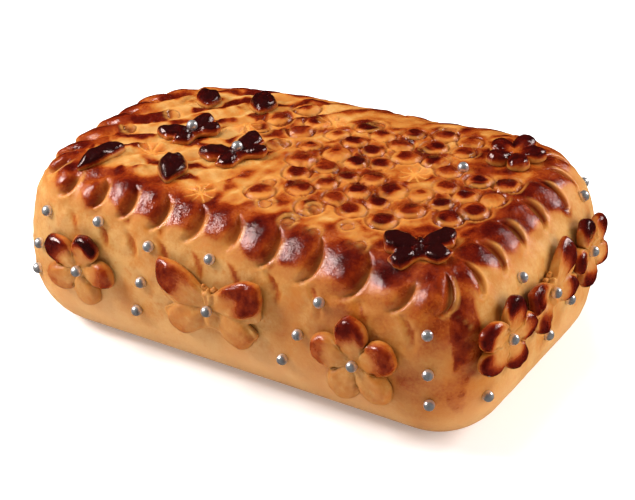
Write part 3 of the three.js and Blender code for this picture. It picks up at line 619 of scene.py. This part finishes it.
def columns_at(v):
    """Perimeter places of all columns at skin depth v."""
    places = []
    for pillow in PILLOWS:
        r, dv = pillow["radius"], v - pillow["v"]
        bent = np.clip(dv, -BENT_SHARE * r, BENT_SHARE * r)
        away = abs(math.asin(bent / r) - GROOVE_MIDDLE) / GROOVE_SPAN
        share = math.cos(min(away, 1) * QUARTER)
        edges = (r - max(GROOVE_WIDTH * share, 1.2), r, r + GROOVE_STEP)
        arcs = [0, *(math.sqrt(max(e * e - bent * bent, 0.5)) for e in edges), pillow["pitch"]]
        straight = [phase * pillow["pitch"] for phase in ZONE_PHASES]
        fade = float(smooth(abs(dv), BENT_SHARE * r, BENT_SHARE * r + STRAIGHTENING))
        bounds = [a + (b - a) * fade for a, b in zip(arcs, straight)]
        for zone, count in enumerate(ZONE_COLUMNS):
            steps = np.arange(count) / count
            places.extend(pillow["s"] + bounds[zone] + (bounds[zone + 1] - bounds[zone]) * steps)
    return np.array(places)


def skin_rows():
    rows = [np.linspace(a, b, round((b - a) / step), endpoint=False) for a, b, step in ROW_SPANS]
    return np.append(np.concatenate(rows), V_END)


def quads(*corners):
    return np.stack(corners, -1).reshape(-1, 4).tolist()


def blended(points, at):
    """Points of a grid, blended from those that its four sides name."""
    front, back, left, right = points[at[:, 0]], points[at[:, -1]], points[at[0]], points[at[-1]]
    u = np.linspace(0, 1, len(front))[:, None, None]
    w = np.linspace(0, 1, len(left))[None, :, None]
    near, far = front[0] * (1 - u) + front[-1] * u, back[0] * (1 - u) + back[-1] * u
    return (front[:, None] - near) * (1 - w) + (back[:, None] - far) * w + left * (1 - u) + right * u


def make_loaf(material):
    rows = skin_rows()
    places = [columns_at(v) for v in rows]
    count = len(places[0])
    s = np.concatenate(places)
    v = np.repeat(rows, count)
    block, normal = skin_at(s, v)

    # The flat of the top is a grid with its four corners at the columns nearest the plan's corners.
    middles = [run["arc"] + run["r"] * QUARTER / 2 for run in RUNS]
    start = int(np.argmin(np.abs(wrap_near(places[0] - middles[3]))))
    half = count // 2
    long_side = int(np.argmin(np.abs(wrap_near(np.roll(places[0], -start) - middles[0]))))
    column = (np.arange(count + 1) + start) % count
    at = np.zeros((long_side + 1, half - long_side + 1), int)
    at[:, 0], at[-1] = column[: long_side + 1], column[long_side : half + 1]
    at[:, -1], at[0] = column[half : half + long_side + 1][::-1], column[half + long_side :][::-1]
    inner = blended(block, at)[1:-1, 1:-1].reshape(-1, 3)
    inner[:, 2] = HEIGHT
    at[1:-1, 1:-1] = len(s) + np.arange(len(inner)).reshape(at.shape[0] - 2, at.shape[1] - 2)
    inner_s = perimeter_at(inner[:, 0], inner[:, 1])
    inner_v = V_FLAT + plan_distance(inner[:, 0], inner[:, 1])[0] + TOP_EDGE

    block = np.concatenate([block, inner])
    normal = np.concatenate([normal, np.tile([0, 0, 1.0], (len(inner), 1))])
    height, fields = skin_of(block, np.append(s, inner_s) % PERIMETER, np.append(v, inner_v))
    points = settle(block + normal * height[:, None])
    points[:, 2] = np.maximum(points[:, 2], 0)

    grid = np.arange(len(rows))[:, None] * count + np.arange(count + 1) % count
    faces = quads(grid[1:, :-1], grid[1:, 1:], grid[:-1, 1:], grid[:-1, :-1])
    faces += quads(at[:-1, :-1], at[1:, :-1], at[1:, 1:], at[:-1, 1:])

    # The flat underside is a fan round its middle.
    foot = grid[-1].tolist()
    faces.extend([len(points), b, a] for a, b in zip(foot, foot[1:]))
    points = np.append(points, [[0, 0, 0]], 0)
    fields = {k: np.append(f, f[len(s) - 1]) for k, f in fields.items()}
    return make_object("loaf_skin", [part(points, faces, fields)], [material])


BALL_AROUND, BALL_DOWN, TUBE_AROUND = 28, 16, 8


def circle_points(count):
    angle = np.arange(count) * 2 * math.pi / count
    return np.stack([np.cos(angle), np.sin(angle)], 1)


def ball(centre, radius, **looks):
    polar = np.linspace(0, math.pi, BALL_DOWN + 1)[1:-1]
    ring = np.column_stack([circle_points(BALL_AROUND), np.zeros(BALL_AROUND)])
    rings = [ring * math.sin(a) + [0, 0, math.cos(a)] for a in polar]
    points = np.concatenate([[[0, 0, 1]], *rings, [[0, 0, -1]]])
    return part(points * radius + centre, closed_faces(len(rings), BALL_AROUND), **looks)


def tube(middle, radii, **looks):
    """A closed round tube along a line, with blunt ends."""
    ahead = unit(np.gradient(middle, axis=0))
    side = unit(np.cross(ahead, [0.3, 0.5, 0.8]))
    other = np.cross(ahead, side)
    ring = circle_points(TUBE_AROUND)
    rings = [m + r * (ring[:, :1] * a + ring[:, 1:] * b) for m, r, a, b in zip(middle, radii, side, other)]
    first, last = middle[0] - ahead[0] * radii[0] * 0.7, middle[-1] + ahead[-1] * radii[-1] * 0.7
    points = np.concatenate([[last], *rings[::-1], [first]])
    return part(points, closed_faces(len(rings), TUBE_AROUND), **looks)


def pearl_at(place, lift, **looks):
    return ball(settle((place["point"] + place["normal"] * lift)[None])[0], PEARL_RADIUS, **looks)


# ---- cut-outs

AROUND, OUTWARD = 180, 15
BACK_SHARES = (0.97, 0.8, 0.5, 0.2)
PETALS, PETAL_REACH, PETAL_RADIUS, FLOWER_HEART = 5, 0.5, 0.185, 0.235
THICKNESS = dict(flower=4.3, butterfly=3.9, leaf=4.6)
CURL = dict(flower=1.8, butterfly=2.0, leaf=0.0)
PEARL_SEAT = dict(flower=(3.4, -0.3), butterfly=(3.2, -0.2))  # thickness there and how far the pearl sinks
SMALL_SHARE, SMALL_CRUMPLE = 0.85, 1.7  # how thin and how crumpled the small cut-outs on the top are
SUNK = 0.25  # the dough sticks to the loaf
CURLED_BAKE, DOUGH_BAKE, FEELER_BAKE = 0.82, 0.16, 0.25
FOOT_BAKE = dict(flower=0.36, butterfly=0.36, leaf=0.18)

# Half of a butterfly from its head round one upper and one lower wing to its tail.
WING_OUTLINE = [
    (0, 0.2), (0.035, 0.145), (0.15, 0.25), (0.32, 0.33), (0.48, 0.335), (0.5, 0.19), (0.47, 0.01),
    (0.335, -0.04), (0.46, -0.12), (0.38, -0.26), (0.27, -0.325), (0.17, -0.27), (0.06, -0.2), (0, -0.185),
]


PETAL_AIMS = [QUARTER + 2 * math.pi * k / PETALS for k in range(PETALS)]


def flower_radius(angle):
    """Radius of a flower of width 1: five round petals and a heart, melted together a little."""
    centre = PETAL_REACH - PETAL_RADIUS
    parts = [np.full_like(angle, FLOWER_HEART)]
    for aim in PETAL_AIMS:
        off = angle - aim
        miss = centre * np.sin(off)
        hit = (np.abs(miss) < PETAL_RADIUS) & (np.cos(off) > 0)
        chord = np.sqrt(np.maximum(PETAL_RADIUS**2 - miss**2, 0))
        parts.append(np.where(hit, centre * np.cos(off) + chord, 0))
    return (sum(part**14 for part in parts)) ** (1 / 14)


def butterfly_radius(angle):
    """Radius of a butterfly of width 1, through its outline's points with rounded corners."""
    right = np.array(WING_OUTLINE)
    left = right[1:-1][::-1] * [-1, 1]
    closed = np.concatenate([right, left])
    sides = zip(closed, np.roll(closed, -1, 0))
    dense = np.concatenate([np.linspace(a, b, 12, endpoint=False) for a, b in sides])
    weights = np.hanning(13) / np.hanning(13).sum()
    soft = sum(weight * np.roll(dense, k - 6, 0) for k, weight in enumerate(weights))
    directions = np.arctan2(soft[:, 1], soft[:, 0])
    order = np.argsort(directions)
    return np.interp(angle, directions[order], np.hypot(*soft[order].T), period=2 * math.pi) * 1.02


def outline_of(piece):
    angle = np.linspace(-math.pi, math.pi, AROUND, endpoint=False)
    if piece["kind"] == "leaf":
        angle += math.pi
        taper = 1 - 0.55 * np.maximum(0, np.cos(angle)) ** 1.7
        return np.stack([np.cos(angle), piece["slim"] * np.sin(angle) * taper], 1) * piece["size"] / 2
    radius = flower_radius(angle) if piece["kind"] == "flower" else butterfly_radius(angle)
    shake = 1 + 0.016 * np.sin(3 * angle + piece["size"]) + 0.014 * np.sin(7 * angle + piece["turn"])
    shake += 0.008 * np.sin(17 * angle + piece["size"])
    return np.stack([np.cos(angle), np.sin(angle)], 1) * (radius * shake * piece["size"])[:, None]


# Puffy lobes as (x, y, half length, half width, direction of the length in degrees) for a width of 1.
PETAL_LOBES = [(0.3 * math.cos(a), 0.3 * math.sin(a), 0.225, 0.185, math.degrees(a)) for a in PETAL_AIMS]
WING_LOBES = [
    (side * x, y, long, wide, turn if side > 0 else 180 - turn)
    for side in (-1, 1)
    for x, y, long, wide, turn in ((0.29, 0.165, 0.27, 0.165, 28), (0.25, -0.16, 0.2, 0.14, -38))
]
LOBES = dict(flower=PETAL_LOBES, butterfly=WING_LOBES)


def highest_lobe(flat, size, lobes):
    """Height from 0 to 1 of the highest of some puffy lobes, and the direction of that lobe."""
    height, aim = np.zeros(len(flat)), np.zeros(len(flat))
    for x, y, long, wide, turn in lobes:
        along, across = turned(flat[:, 0] / size - x, flat[:, 1] / size - y, math.radians(turn))
        here = np.clip(1 - np.hypot(along / long, across / wide) ** 2.6, 0, 1) ** 0.55
        aim = np.where(here > height, math.atan2(y, x), aim)
        height = np.maximum(height, here)
    return height, aim


def face_of(piece, flat, inside):
    """Height of a cut-out's face over its back at flat points that lie inside by so much."""
    size, kind = piece["size"], piece["kind"]
    thickness = THICKNESS[kind] * (SMALL_SHARE if piece["on_top"] else 1)
    x, y = flat.T
    edge = np.sqrt(1 - (1 - np.clip(inside / 1.9, 0, 1)) ** 2)
    if kind == "leaf":
        half = piece["slim"] * size / 2
        bend = 0.25 * half * np.sin(x / size * 5)
        away = np.hypot(x / (0.52 * size), (y - bend) / (1.05 * half))
        return thickness * (0.4 * edge + 0.6 * np.clip(1 - away**2.2, 0, 1) ** 0.6)
    puff, _ = highest_lobe(flat, size, LOBES[kind])
    heart = bell(np.hypot(x, y), 0.13 * size)
    if kind == "butterfly":
        heart = np.exp(-((x / (0.055 * size)) ** 2) - (y / (0.2 * size)) ** 4)
    return thickness * edge * (0.42 + 0.58 * np.maximum(puff, 0.62 * heart))


def lay(piece, flat):
    """The points of a flat piece put down in its place on the block, before it follows the curved skin."""
    return piece["point"] + flat[:, :1] * piece["side"] + flat[:, 1:] * piece["up"]


def drape(piece, flat, lift):
    """The points of a flat piece that follows the loaf's skin, lifted off it by so much."""
    on, normal = nearest_on_block(lay(piece, flat))
    return settle(on + normal * lift[:, None])


def feelers(piece):
    """Two curled feelers at a butterfly's head."""
    t = np.linspace(0, 1, 9)
    curl = 4.2 * t
    parts = []
    for side in (-1, 1):
        x = side * (0.02 + 0.05 * t + 0.022 * np.sin(curl))
        y = 0.165 + 0.075 * t - 0.022 * (1 - np.cos(curl)) * t
        middle = drape(piece, np.stack([x, y], 1) * piece["size"], CLEARANCE + 1.4 + 0.4 * t)
        parts.append(tube(middle, 1.05 - 0.35 * t, fields=dict(bake=FEELER_BAKE)))
    return parts


def curl_of(piece, flat, share):
    """How far a cut-out curls off the loaf, mostly at its top. A strong curl takes the lower petals too."""
    turn = math.radians(piece["turn"])
    up_share = 0.5 + 0.5 * (flat @ [math.sin(turn), math.cos(turn)]) / np.maximum(np.hypot(*flat.T), 1e-6)
    if "curl" in piece:
        up_share = 0.45 + 0.55 * up_share
    return piece.get("curl", CURL[piece["kind"]]) * share**2 * up_share


def browning_of(piece, flat, inside, height, wobble, fine):
    """Browning of a cut-out: most where it stood highest in the oven, and all over on the top."""
    far = np.hypot(*flat.T) / piece["size"]
    if piece["on_top"]:
        foot = FOOT_BAKE[piece["kind"]]
        bake = foot + (0.66 - foot) * smooth(height, 0.1, 0.4)
        bake += 0.38 * smooth(height + 0.06 * wobble, 0.32, 0.66)
        bake *= piece.get("burn", 1) * (0.96 + 0.05 * fine)
        if "pale_heart" in piece:
            bake -= 0.14 + piece["pale_heart"] * (1 - smooth(far + 0.02 * wobble, 0.08, 0.2))
        return bake
    puff, aim = highest_lobe(flat, piece["size"] * 1.08, LOBES[piece["kind"]])
    high = np.sin(aim + math.radians(piece["turn"]))
    level = np.interp(high, (-1, -0.5, 0.2, 0.6, 1), (0.2, 0.4, 0.62, 0.88, 1)) * piece.get("burn", 1)
    if "curl" in piece:
        level = np.maximum(level, CURLED_BAKE)
    patch = smooth(puff + 0.09 * wobble, 0.2, 0.75) * smooth(far + 0.03 * wobble, 0.17, 0.4)
    bake = DOUGH_BAKE + 0.03 * fine + (level - DOUGH_BAKE) * patch
    return bake - 0.24 * (1 - smooth(inside, 0, 1.0)) * smooth(bake, 0.3, 0.6)


def make_cut_out(piece, dough, pearl):
    outline, kind = outline_of(piece), piece["kind"]
    steps = 1 - (1 - np.arange(1, OUTWARD + 1) / OUTWARD) ** 1.7
    front = np.concatenate([[[0, 0]], *(outline * step for step in steps)])
    share = np.append(0, np.repeat(steps, AROUND))
    inside = np.sqrt(((front[:, None] - outline[None]) ** 2).sum(2)).min(1)
    face = face_of(piece, front, inside)
    seed = PIECES.index(piece) + 20
    lump = 0.16 * ripples(lay(piece, front), 4, seed) + 0.08 * ripples(lay(piece, front), 1.8, seed + 1)
    lump *= (SMALL_CRUMPLE if piece["on_top"] else 1) * smooth(inside, 0, 1.5)
    front_lift = CLEARANCE + face + curl_of(piece, front, share) + lump

    back = np.concatenate([*(outline * b for b in BACK_SHARES), [[0, 0]]])
    back_share = np.append(np.repeat(BACK_SHARES, AROUND), 0)
    back_lift = curl_of(piece, back, back_share) * smooth(back_share, 0.4, 1) - SUNK

    flat = np.concatenate([front, back])
    points = drape(piece, flat, np.concatenate([front_lift, back_lift]))
    none = np.zeros(len(back))
    inside, height = np.append(inside, none), np.append(face, none) / face.max()
    wobble, fine = ripples(lay(piece, flat), 6, seed + 2), ripples(lay(piece, flat), 2.2, seed + 3)
    bake = np.clip(browning_of(piece, flat, inside, height, wobble, fine), 0, 1.1)
    fields = dict(bake=bake, pale=0, wash=0.5 * smooth(wobble + fine * 0.5, 0.3, 1.8), low=0)
    parts = [part(points, closed_faces(OUTWARD + len(BACK_SHARES), AROUND), fields)]
    if kind == "butterfly" and not piece["on_top"]:
        parts += feelers(piece)
    if kind != "leaf" and not piece.get("bare"):
        thickness, seat = PEARL_SEAT[kind]
        lift = CLEARANCE + thickness * (SMALL_SHARE if piece["on_top"] else 1) + seat + PEARL_PROUD
        parts.append(pearl_at(piece, lift, material=1))
    return make_object(piece["name"] + "_dressed", parts, [dough, pearl])


# ---- materials


class Tree:
    """A short way to write a material's nodes."""

    def __init__(self, name):
        self.material = bpy.data.materials.new(name)
        self.material.use_nodes = True
        self.nodes = self.material.node_tree.nodes
        self.links = self.material.node_tree.links
        self.shader = self.nodes["Principled BSDF"]
        self.where = self.nodes.new("ShaderNodeTexCoord").outputs["Object"]

    def put(self, socket, value):
        if isinstance(value, bpy.types.NodeSocket):
            self.links.new(value, socket)
        else:
            socket.default_value = value

    def set(self, name, value):
        self.put(self.shader.inputs[name], value)

    def node(self, kind, output, inputs=(), **settings):
        """The output of a new node with these inputs and settings."""
        node = self.nodes.new("ShaderNode" + kind)
        for name, value in settings.items():
            setattr(node, name, value)
        for name, value in dict(inputs).items():
            self.put(node.inputs[name], (*value, 1) if isinstance(value, tuple) else value)
        return node.outputs[output]

    def math(self, operation, *values, clamp=False):
        return self.node("Math", 0, enumerate(values), operation=operation, use_clamp=clamp)

    def times(self, a, b, clamp=False):
        return self.math("MULTIPLY", a, b, clamp=clamp)

    def field(self, name):
        return self.node("Attribute", "Fac", attribute_name=name)

    def noise(self, size_mm, detail=3.0, roughness=0.55):
        """Noise from 0 to 1 with lumps of about that size."""
        inputs = {"Scale": 1 / (size_mm * MM), "Detail": detail, "Roughness": roughness}
        return self.node("TexNoise", "Fac", {"Vector": self.where, **inputs})

    def span(self, value, low, high, from_low=0.0, from_high=1.0):
        """low up to from_low, high beyond from_high, and evenly in between."""
        ends = {"From Min": from_low, "From Max": from_high, "To Min": low, "To Max": high}
        return self.node("MapRange", "Result", {"Value": value, **ends})

    def mix(self, share, a, b):
        return self.node("Mix", 2, {0: share, 6: a, 7: b}, data_type="RGBA")

    def bump(self, height, distance_mm, strength, before=None):
        inputs = {"Height": height, "Distance": distance_mm * MM, "Strength": strength}
        return self.node("Bump", "Normal", inputs | ({"Normal": before} if before else {}))

    def ramp(self, value, stops):
        node = self.nodes.new("ShaderNodeValToRGB")
        elements = node.color_ramp.elements
        while len(elements) < len(stops):
            elements.new(0.5)
        for element, (position, colour) in zip(elements, stops):
            element.position, element.color = position, (*colour, 1)
        self.put(node.inputs["Fac"], value)
        return node.outputs["Color"]


def srgb(*levels):
    """Linear colour of an 8-bit one."""
    shares = (level / 255 for level in levels)
    return tuple(c / 12.92 if c <= 0.04045 else ((c + 0.055) / 1.055) ** 2.4 for c in shares)


BROWNING = [
    (0.00, srgb(184, 136, 76)),
    (0.16, srgb(172, 113, 50)),
    (0.30, srgb(164, 96, 36)),
    (0.44, srgb(145, 64, 16)),
    (0.58, srgb(114, 35, 9)),
    (0.72, srgb(80, 14, 5)),
    (0.86, srgb(56, 7, 5)),
    (1.00, srgb(34, 7, 7)),
]
# The last of these is the foot's paler dough, made lighter still as painted light bounced up from the
# floor.
EGG_WASH, FLECKS, FOOT_DOUGH_AND_BOUNCE_LIGHT = srgb(172, 98, 20), srgb(172, 96, 22), srgb(204, 153, 98)
PALE_DARKER, PALE_LIGHTER = srgb(164, 96, 34), srgb(204, 148, 76)
# The first of these is a painted highlight for the rings' rims and flanks, the second painted shade for
# their grooves.
RING_RIM_PAINTED_HIGHLIGHT, RING_GROOVE_PAINTED_SHADE = srgb(202, 130, 56), srgb(112, 50, 16)
STAR_COLOUR, SPOKE_COLOUR = srgb(182, 92, 24), srgb(206, 142, 66)
SILVER_DARKER, SILVER_LIGHTER = (0.68, 0.65, 0.64), (0.94, 0.91, 0.9)
GLARE_TINT = (1.0, 0.66, 0.58, 1)


def pressed_rings(t, colour):
    """Paints shade into the rings' grooves and a highlight on their rims and flanks, both strongest on
    their near sides, from the way out from each ring's middle.
    """
    way, near = t.field("ring"), t.field("near")

    def band(*reaches):
        stops = [(reach / RING_LIMIT, (share,) * 3) for reach, share in zip(reaches, (0, 1, 1, 0))]
        return t.ramp(way, stops)

    groove = band(0.9, 0.98, 1.05, 1.15)
    flank, rim = band(0.62, 0.8, 0.84, 0.94), band(1.1, 1.18, 1.24, 1.45)
    # painted highlight: the dome's flank and the rim made paler on the ring's near side
    painted_highlight = t.times(t.math("ADD", flank, rim), t.span(near, -0.25, 0.62))
    colour = t.mix(t.math("MAXIMUM", painted_highlight, 0.0), colour, RING_RIM_PAINTED_HIGHLIGHT)
    # painted shade: the groove darkened, most on the ring's near side
    return t.mix(t.times(groove, t.span(near, 0.1, 0.6)), colour, RING_GROOVE_PAINTED_SHADE), groove


def pressed_stars(t, colour):
    """Draws the eight spokes of the stars, from each point's place beside its star."""
    x, y, star = t.field("star_x"), t.field("star_y"), t.field("star")
    away = t.math("SQRT", t.math("ADD", t.times(x, x), t.times(y, y)))
    between = t.math("ABSOLUTE", t.math("SINE", t.times(t.math("ARCTAN2", y, x), STAR_SPOKES / 2)))
    beside = t.times(t.times(between, away), 2 / STAR_SPOKES)
    spoke = t.times(t.span(beside, 1.0, 0.0, 0.2, 0.55), star)
    colour = t.mix(t.times(star, 0.4), colour, STAR_COLOUR)
    return t.mix(t.times(spoke, 0.6), colour, SPOKE_COLOUR), spoke


def marzipan(name, crust, has_marks=False):
    """Egg-washed marzipan, browned by its bake field. crust is how rough its browned skin is."""
    t = Tree(name)
    blotch, speck, grain = t.noise(5.5, 4), t.noise(1.1, 2), t.noise(0.45, 2)
    broad, fine = t.math("MULTIPLY_ADD", blotch, 0.3, -0.15), t.math("MULTIPLY_ADD", speck, 0.24, -0.12)
    bake = t.math("ADD", t.field("bake"), t.math("ADD", broad, fine), clamp=True)
    colour = t.ramp(bake, BROWNING)
    wash = t.times(t.field("wash"), t.span(blotch, 0.2, 1.0, 0.35, 0.6), clamp=True)
    colour = t.mix(t.times(wash, t.span(bake, 0.85, 0.0, 0.35, 0.6)), colour, EGG_WASH)
    flecks = t.times(t.span(t.noise(2.6, 3), 0.0, 0.5, 0.54, 0.7), t.span(bake, 1.0, 0.0, 0.2, 0.5))
    colour = t.mix(flecks, colour, FLECKS)
    colour = t.mix(t.times(t.field("pale"), 0.85), colour, t.mix(speck, PALE_DARKER, PALE_LIGHTER))
    # the foot made paler: its own dough and painted light bounced up from the floor
    colour = t.mix(t.times(t.field("low"), 0.75), colour, FOOT_DOUGH_AND_BOUNCE_LIGHT)
    if has_marks:
        colour, groove = pressed_rings(t, colour)
        colour, spoke = pressed_stars(t, colour)
    t.set("Base Color", colour)
    t.set("Roughness", t.math("MULTIPLY_ADD", speck, 0.1, t.span(bake, 0.5, 0.14, 0.15, 0.6)))
    t.set("Specular IOR Level", 0.42)
    t.set("Specular Tint", GLARE_TINT)
    t.set("Coat Weight", t.span(bake, 0.03, 0.3, 0.3, 0.65))
    t.set("Coat Roughness", 0.1)
    t.set("Subsurface Weight", 0.12)
    t.set("Subsurface Radius", (1.0, 0.45, 0.2))
    t.set("Subsurface Scale", 2.5 * MM)
    blisters = t.times(t.noise(1.9, 5, 0.6), t.span(bake, 0.25, 1.0, 0.35, 0.75))
    wrinkles = t.times(t.noise(0.8, 2), t.span(bake, 0.4, 1.0, 0.3, 0.6))
    normal = t.bump(blisters, 0.42 * crust, 0.75)
    normal = t.bump(wrinkles, 0.13 * crust, 0.9, normal)
    normal = t.bump(grain, 0.1 * crust, 0.9, normal)
    if has_marks:
        normal = t.bump(t.times(t.math("ADD", groove, spoke), -1.0), 0.3, 0.8, normal)
    t.set("Normal", normal)
    t.set("Coat Normal", normal)
    return t.material


def silver():
    t = Tree("silver_sugar")
    tarnish = t.noise(1.3, 3)
    t.set("Base Color", t.ramp(tarnish, [(0.3, SILVER_DARKER), (0.6, SILVER_LIGHTER)]))
    t.set("Metallic", 0.88)
    t.set("Roughness", t.span(tarnish, 0.38, 0.28))
    t.set("Normal", t.bump(t.noise(0.9, 2), 0.05, 0.5))
    return t.material


def paper_white():
    t = Tree("white_ground")
    t.set("Base Color", (0.93, 0.93, 0.93, 1))
    t.set("Roughness", t.span(t.noise(40, 2), 0.75, 0.85))
    t.set("Emission Color", (1, 1, 1, 1))
    t.set("Emission Strength", 0.2)
    return t.material


# ---- the object

skin = marzipan("marzipan_skin", 1.0, has_marks=True)
dough = marzipan("marzipan_cut_out", 0.6)
pearl = silver()

loaf = make_loaf(skin)
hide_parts("loaf")
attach(loaf, "root")

loose = make_object("pearls_loose", [pearl_at(place, PEARL_PROUD) for place in LOOSE], [pearl])
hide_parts("loaf")
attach(loose, "root")

for piece in PIECES:
    dressed = make_cut_out(piece, dough, pearl)
    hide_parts(piece["name"])
    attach(dressed, "root")

# ---- ground, light and camera

GROUND = 4.0
bpy.ops.mesh.primitive_plane_add(size=GROUND, location=(0, 0, 0))
floor = bpy.context.object
floor.name = "ground"
floor.data.materials.append(paper_white())
floor.visible_glossy = False


def soft_light(name, direction, distance, width, power, mirrored=True):
    data = bpy.data.lights.new(name, "AREA")
    data.shape, data.size, data.energy = "DISK", width, power
    made = bpy.data.objects.new(name, data)
    place = Vector(direction).normalized()
    made.location = place * distance
    made.rotation_mode = "QUATERNION"
    made.rotation_quaternion = place.to_track_quat("Z", "Y")
    made.visible_glossy = mirrored
    bpy.context.scene.collection.objects.link(made)


soft_light("overhead", (-0.3, 0.05, 1), 1.3, 1.0, 17, mirrored=False)
soft_light("front_left", (-0.72, -0.4, 0.6), 0.62, 0.2, 3.7)
soft_light("behind_right", (0.55, 0.7, 0.46), 1.3, 0.4, 8)
soft_light("low_right", (0.93, 0.05, 0.36), 1.3, 1.0, 14, mirrored=False)

world = bpy.data.worlds.new("studio")
bpy.context.scene.world = world
world.use_nodes = True
background = world.node_tree.nodes["Background"].inputs
background["Color"].default_value, background["Strength"].default_value = (1, 1, 1, 1), 0.3
world.cycles_visibility.glossy = False
bpy.context.scene.view_settings.view_transform = "Standard"

AZIMUTH, ELEVATION, ROLL = 29.21, 29.92, -0.25  # degrees
DISTANCE_MM, FOCAL_PX, IMAGE_WIDTH_PX = 1151.0, 3077.0, 635
TARGET = Vector((6.2, -11.29, 35.0)) * MM
CENTRE_DROP_PX = 1.06  # how far the lens's axis meets the picture below its middle

az, el = math.radians(AZIMUTH), math.radians(ELEVATION)
back = Vector((math.sin(az) * math.cos(el), -math.cos(az) * math.cos(el), math.sin(el)))
right = Vector((math.cos(az), math.sin(az), 0))
up = back.cross(right)
right, up = turned(right, up, math.radians(ROLL))
camera_data = bpy.data.cameras.new("camera")
camera_data.sensor_width = 36
camera_data.lens = FOCAL_PX * camera_data.sensor_width / IMAGE_WIDTH_PX
camera_data.shift_y = CENTRE_DROP_PX / IMAGE_WIDTH_PX
camera = bpy.data.objects.new("camera", camera_data)
facing = Matrix((right, up, back)).transposed().to_4x4()
camera.matrix_world = Matrix.Translation(TARGET + back * DISTANCE_MM * MM) @ facing
bpy.context.scene.collection.objects.link(camera)
bpy.context.scene.camera = camera
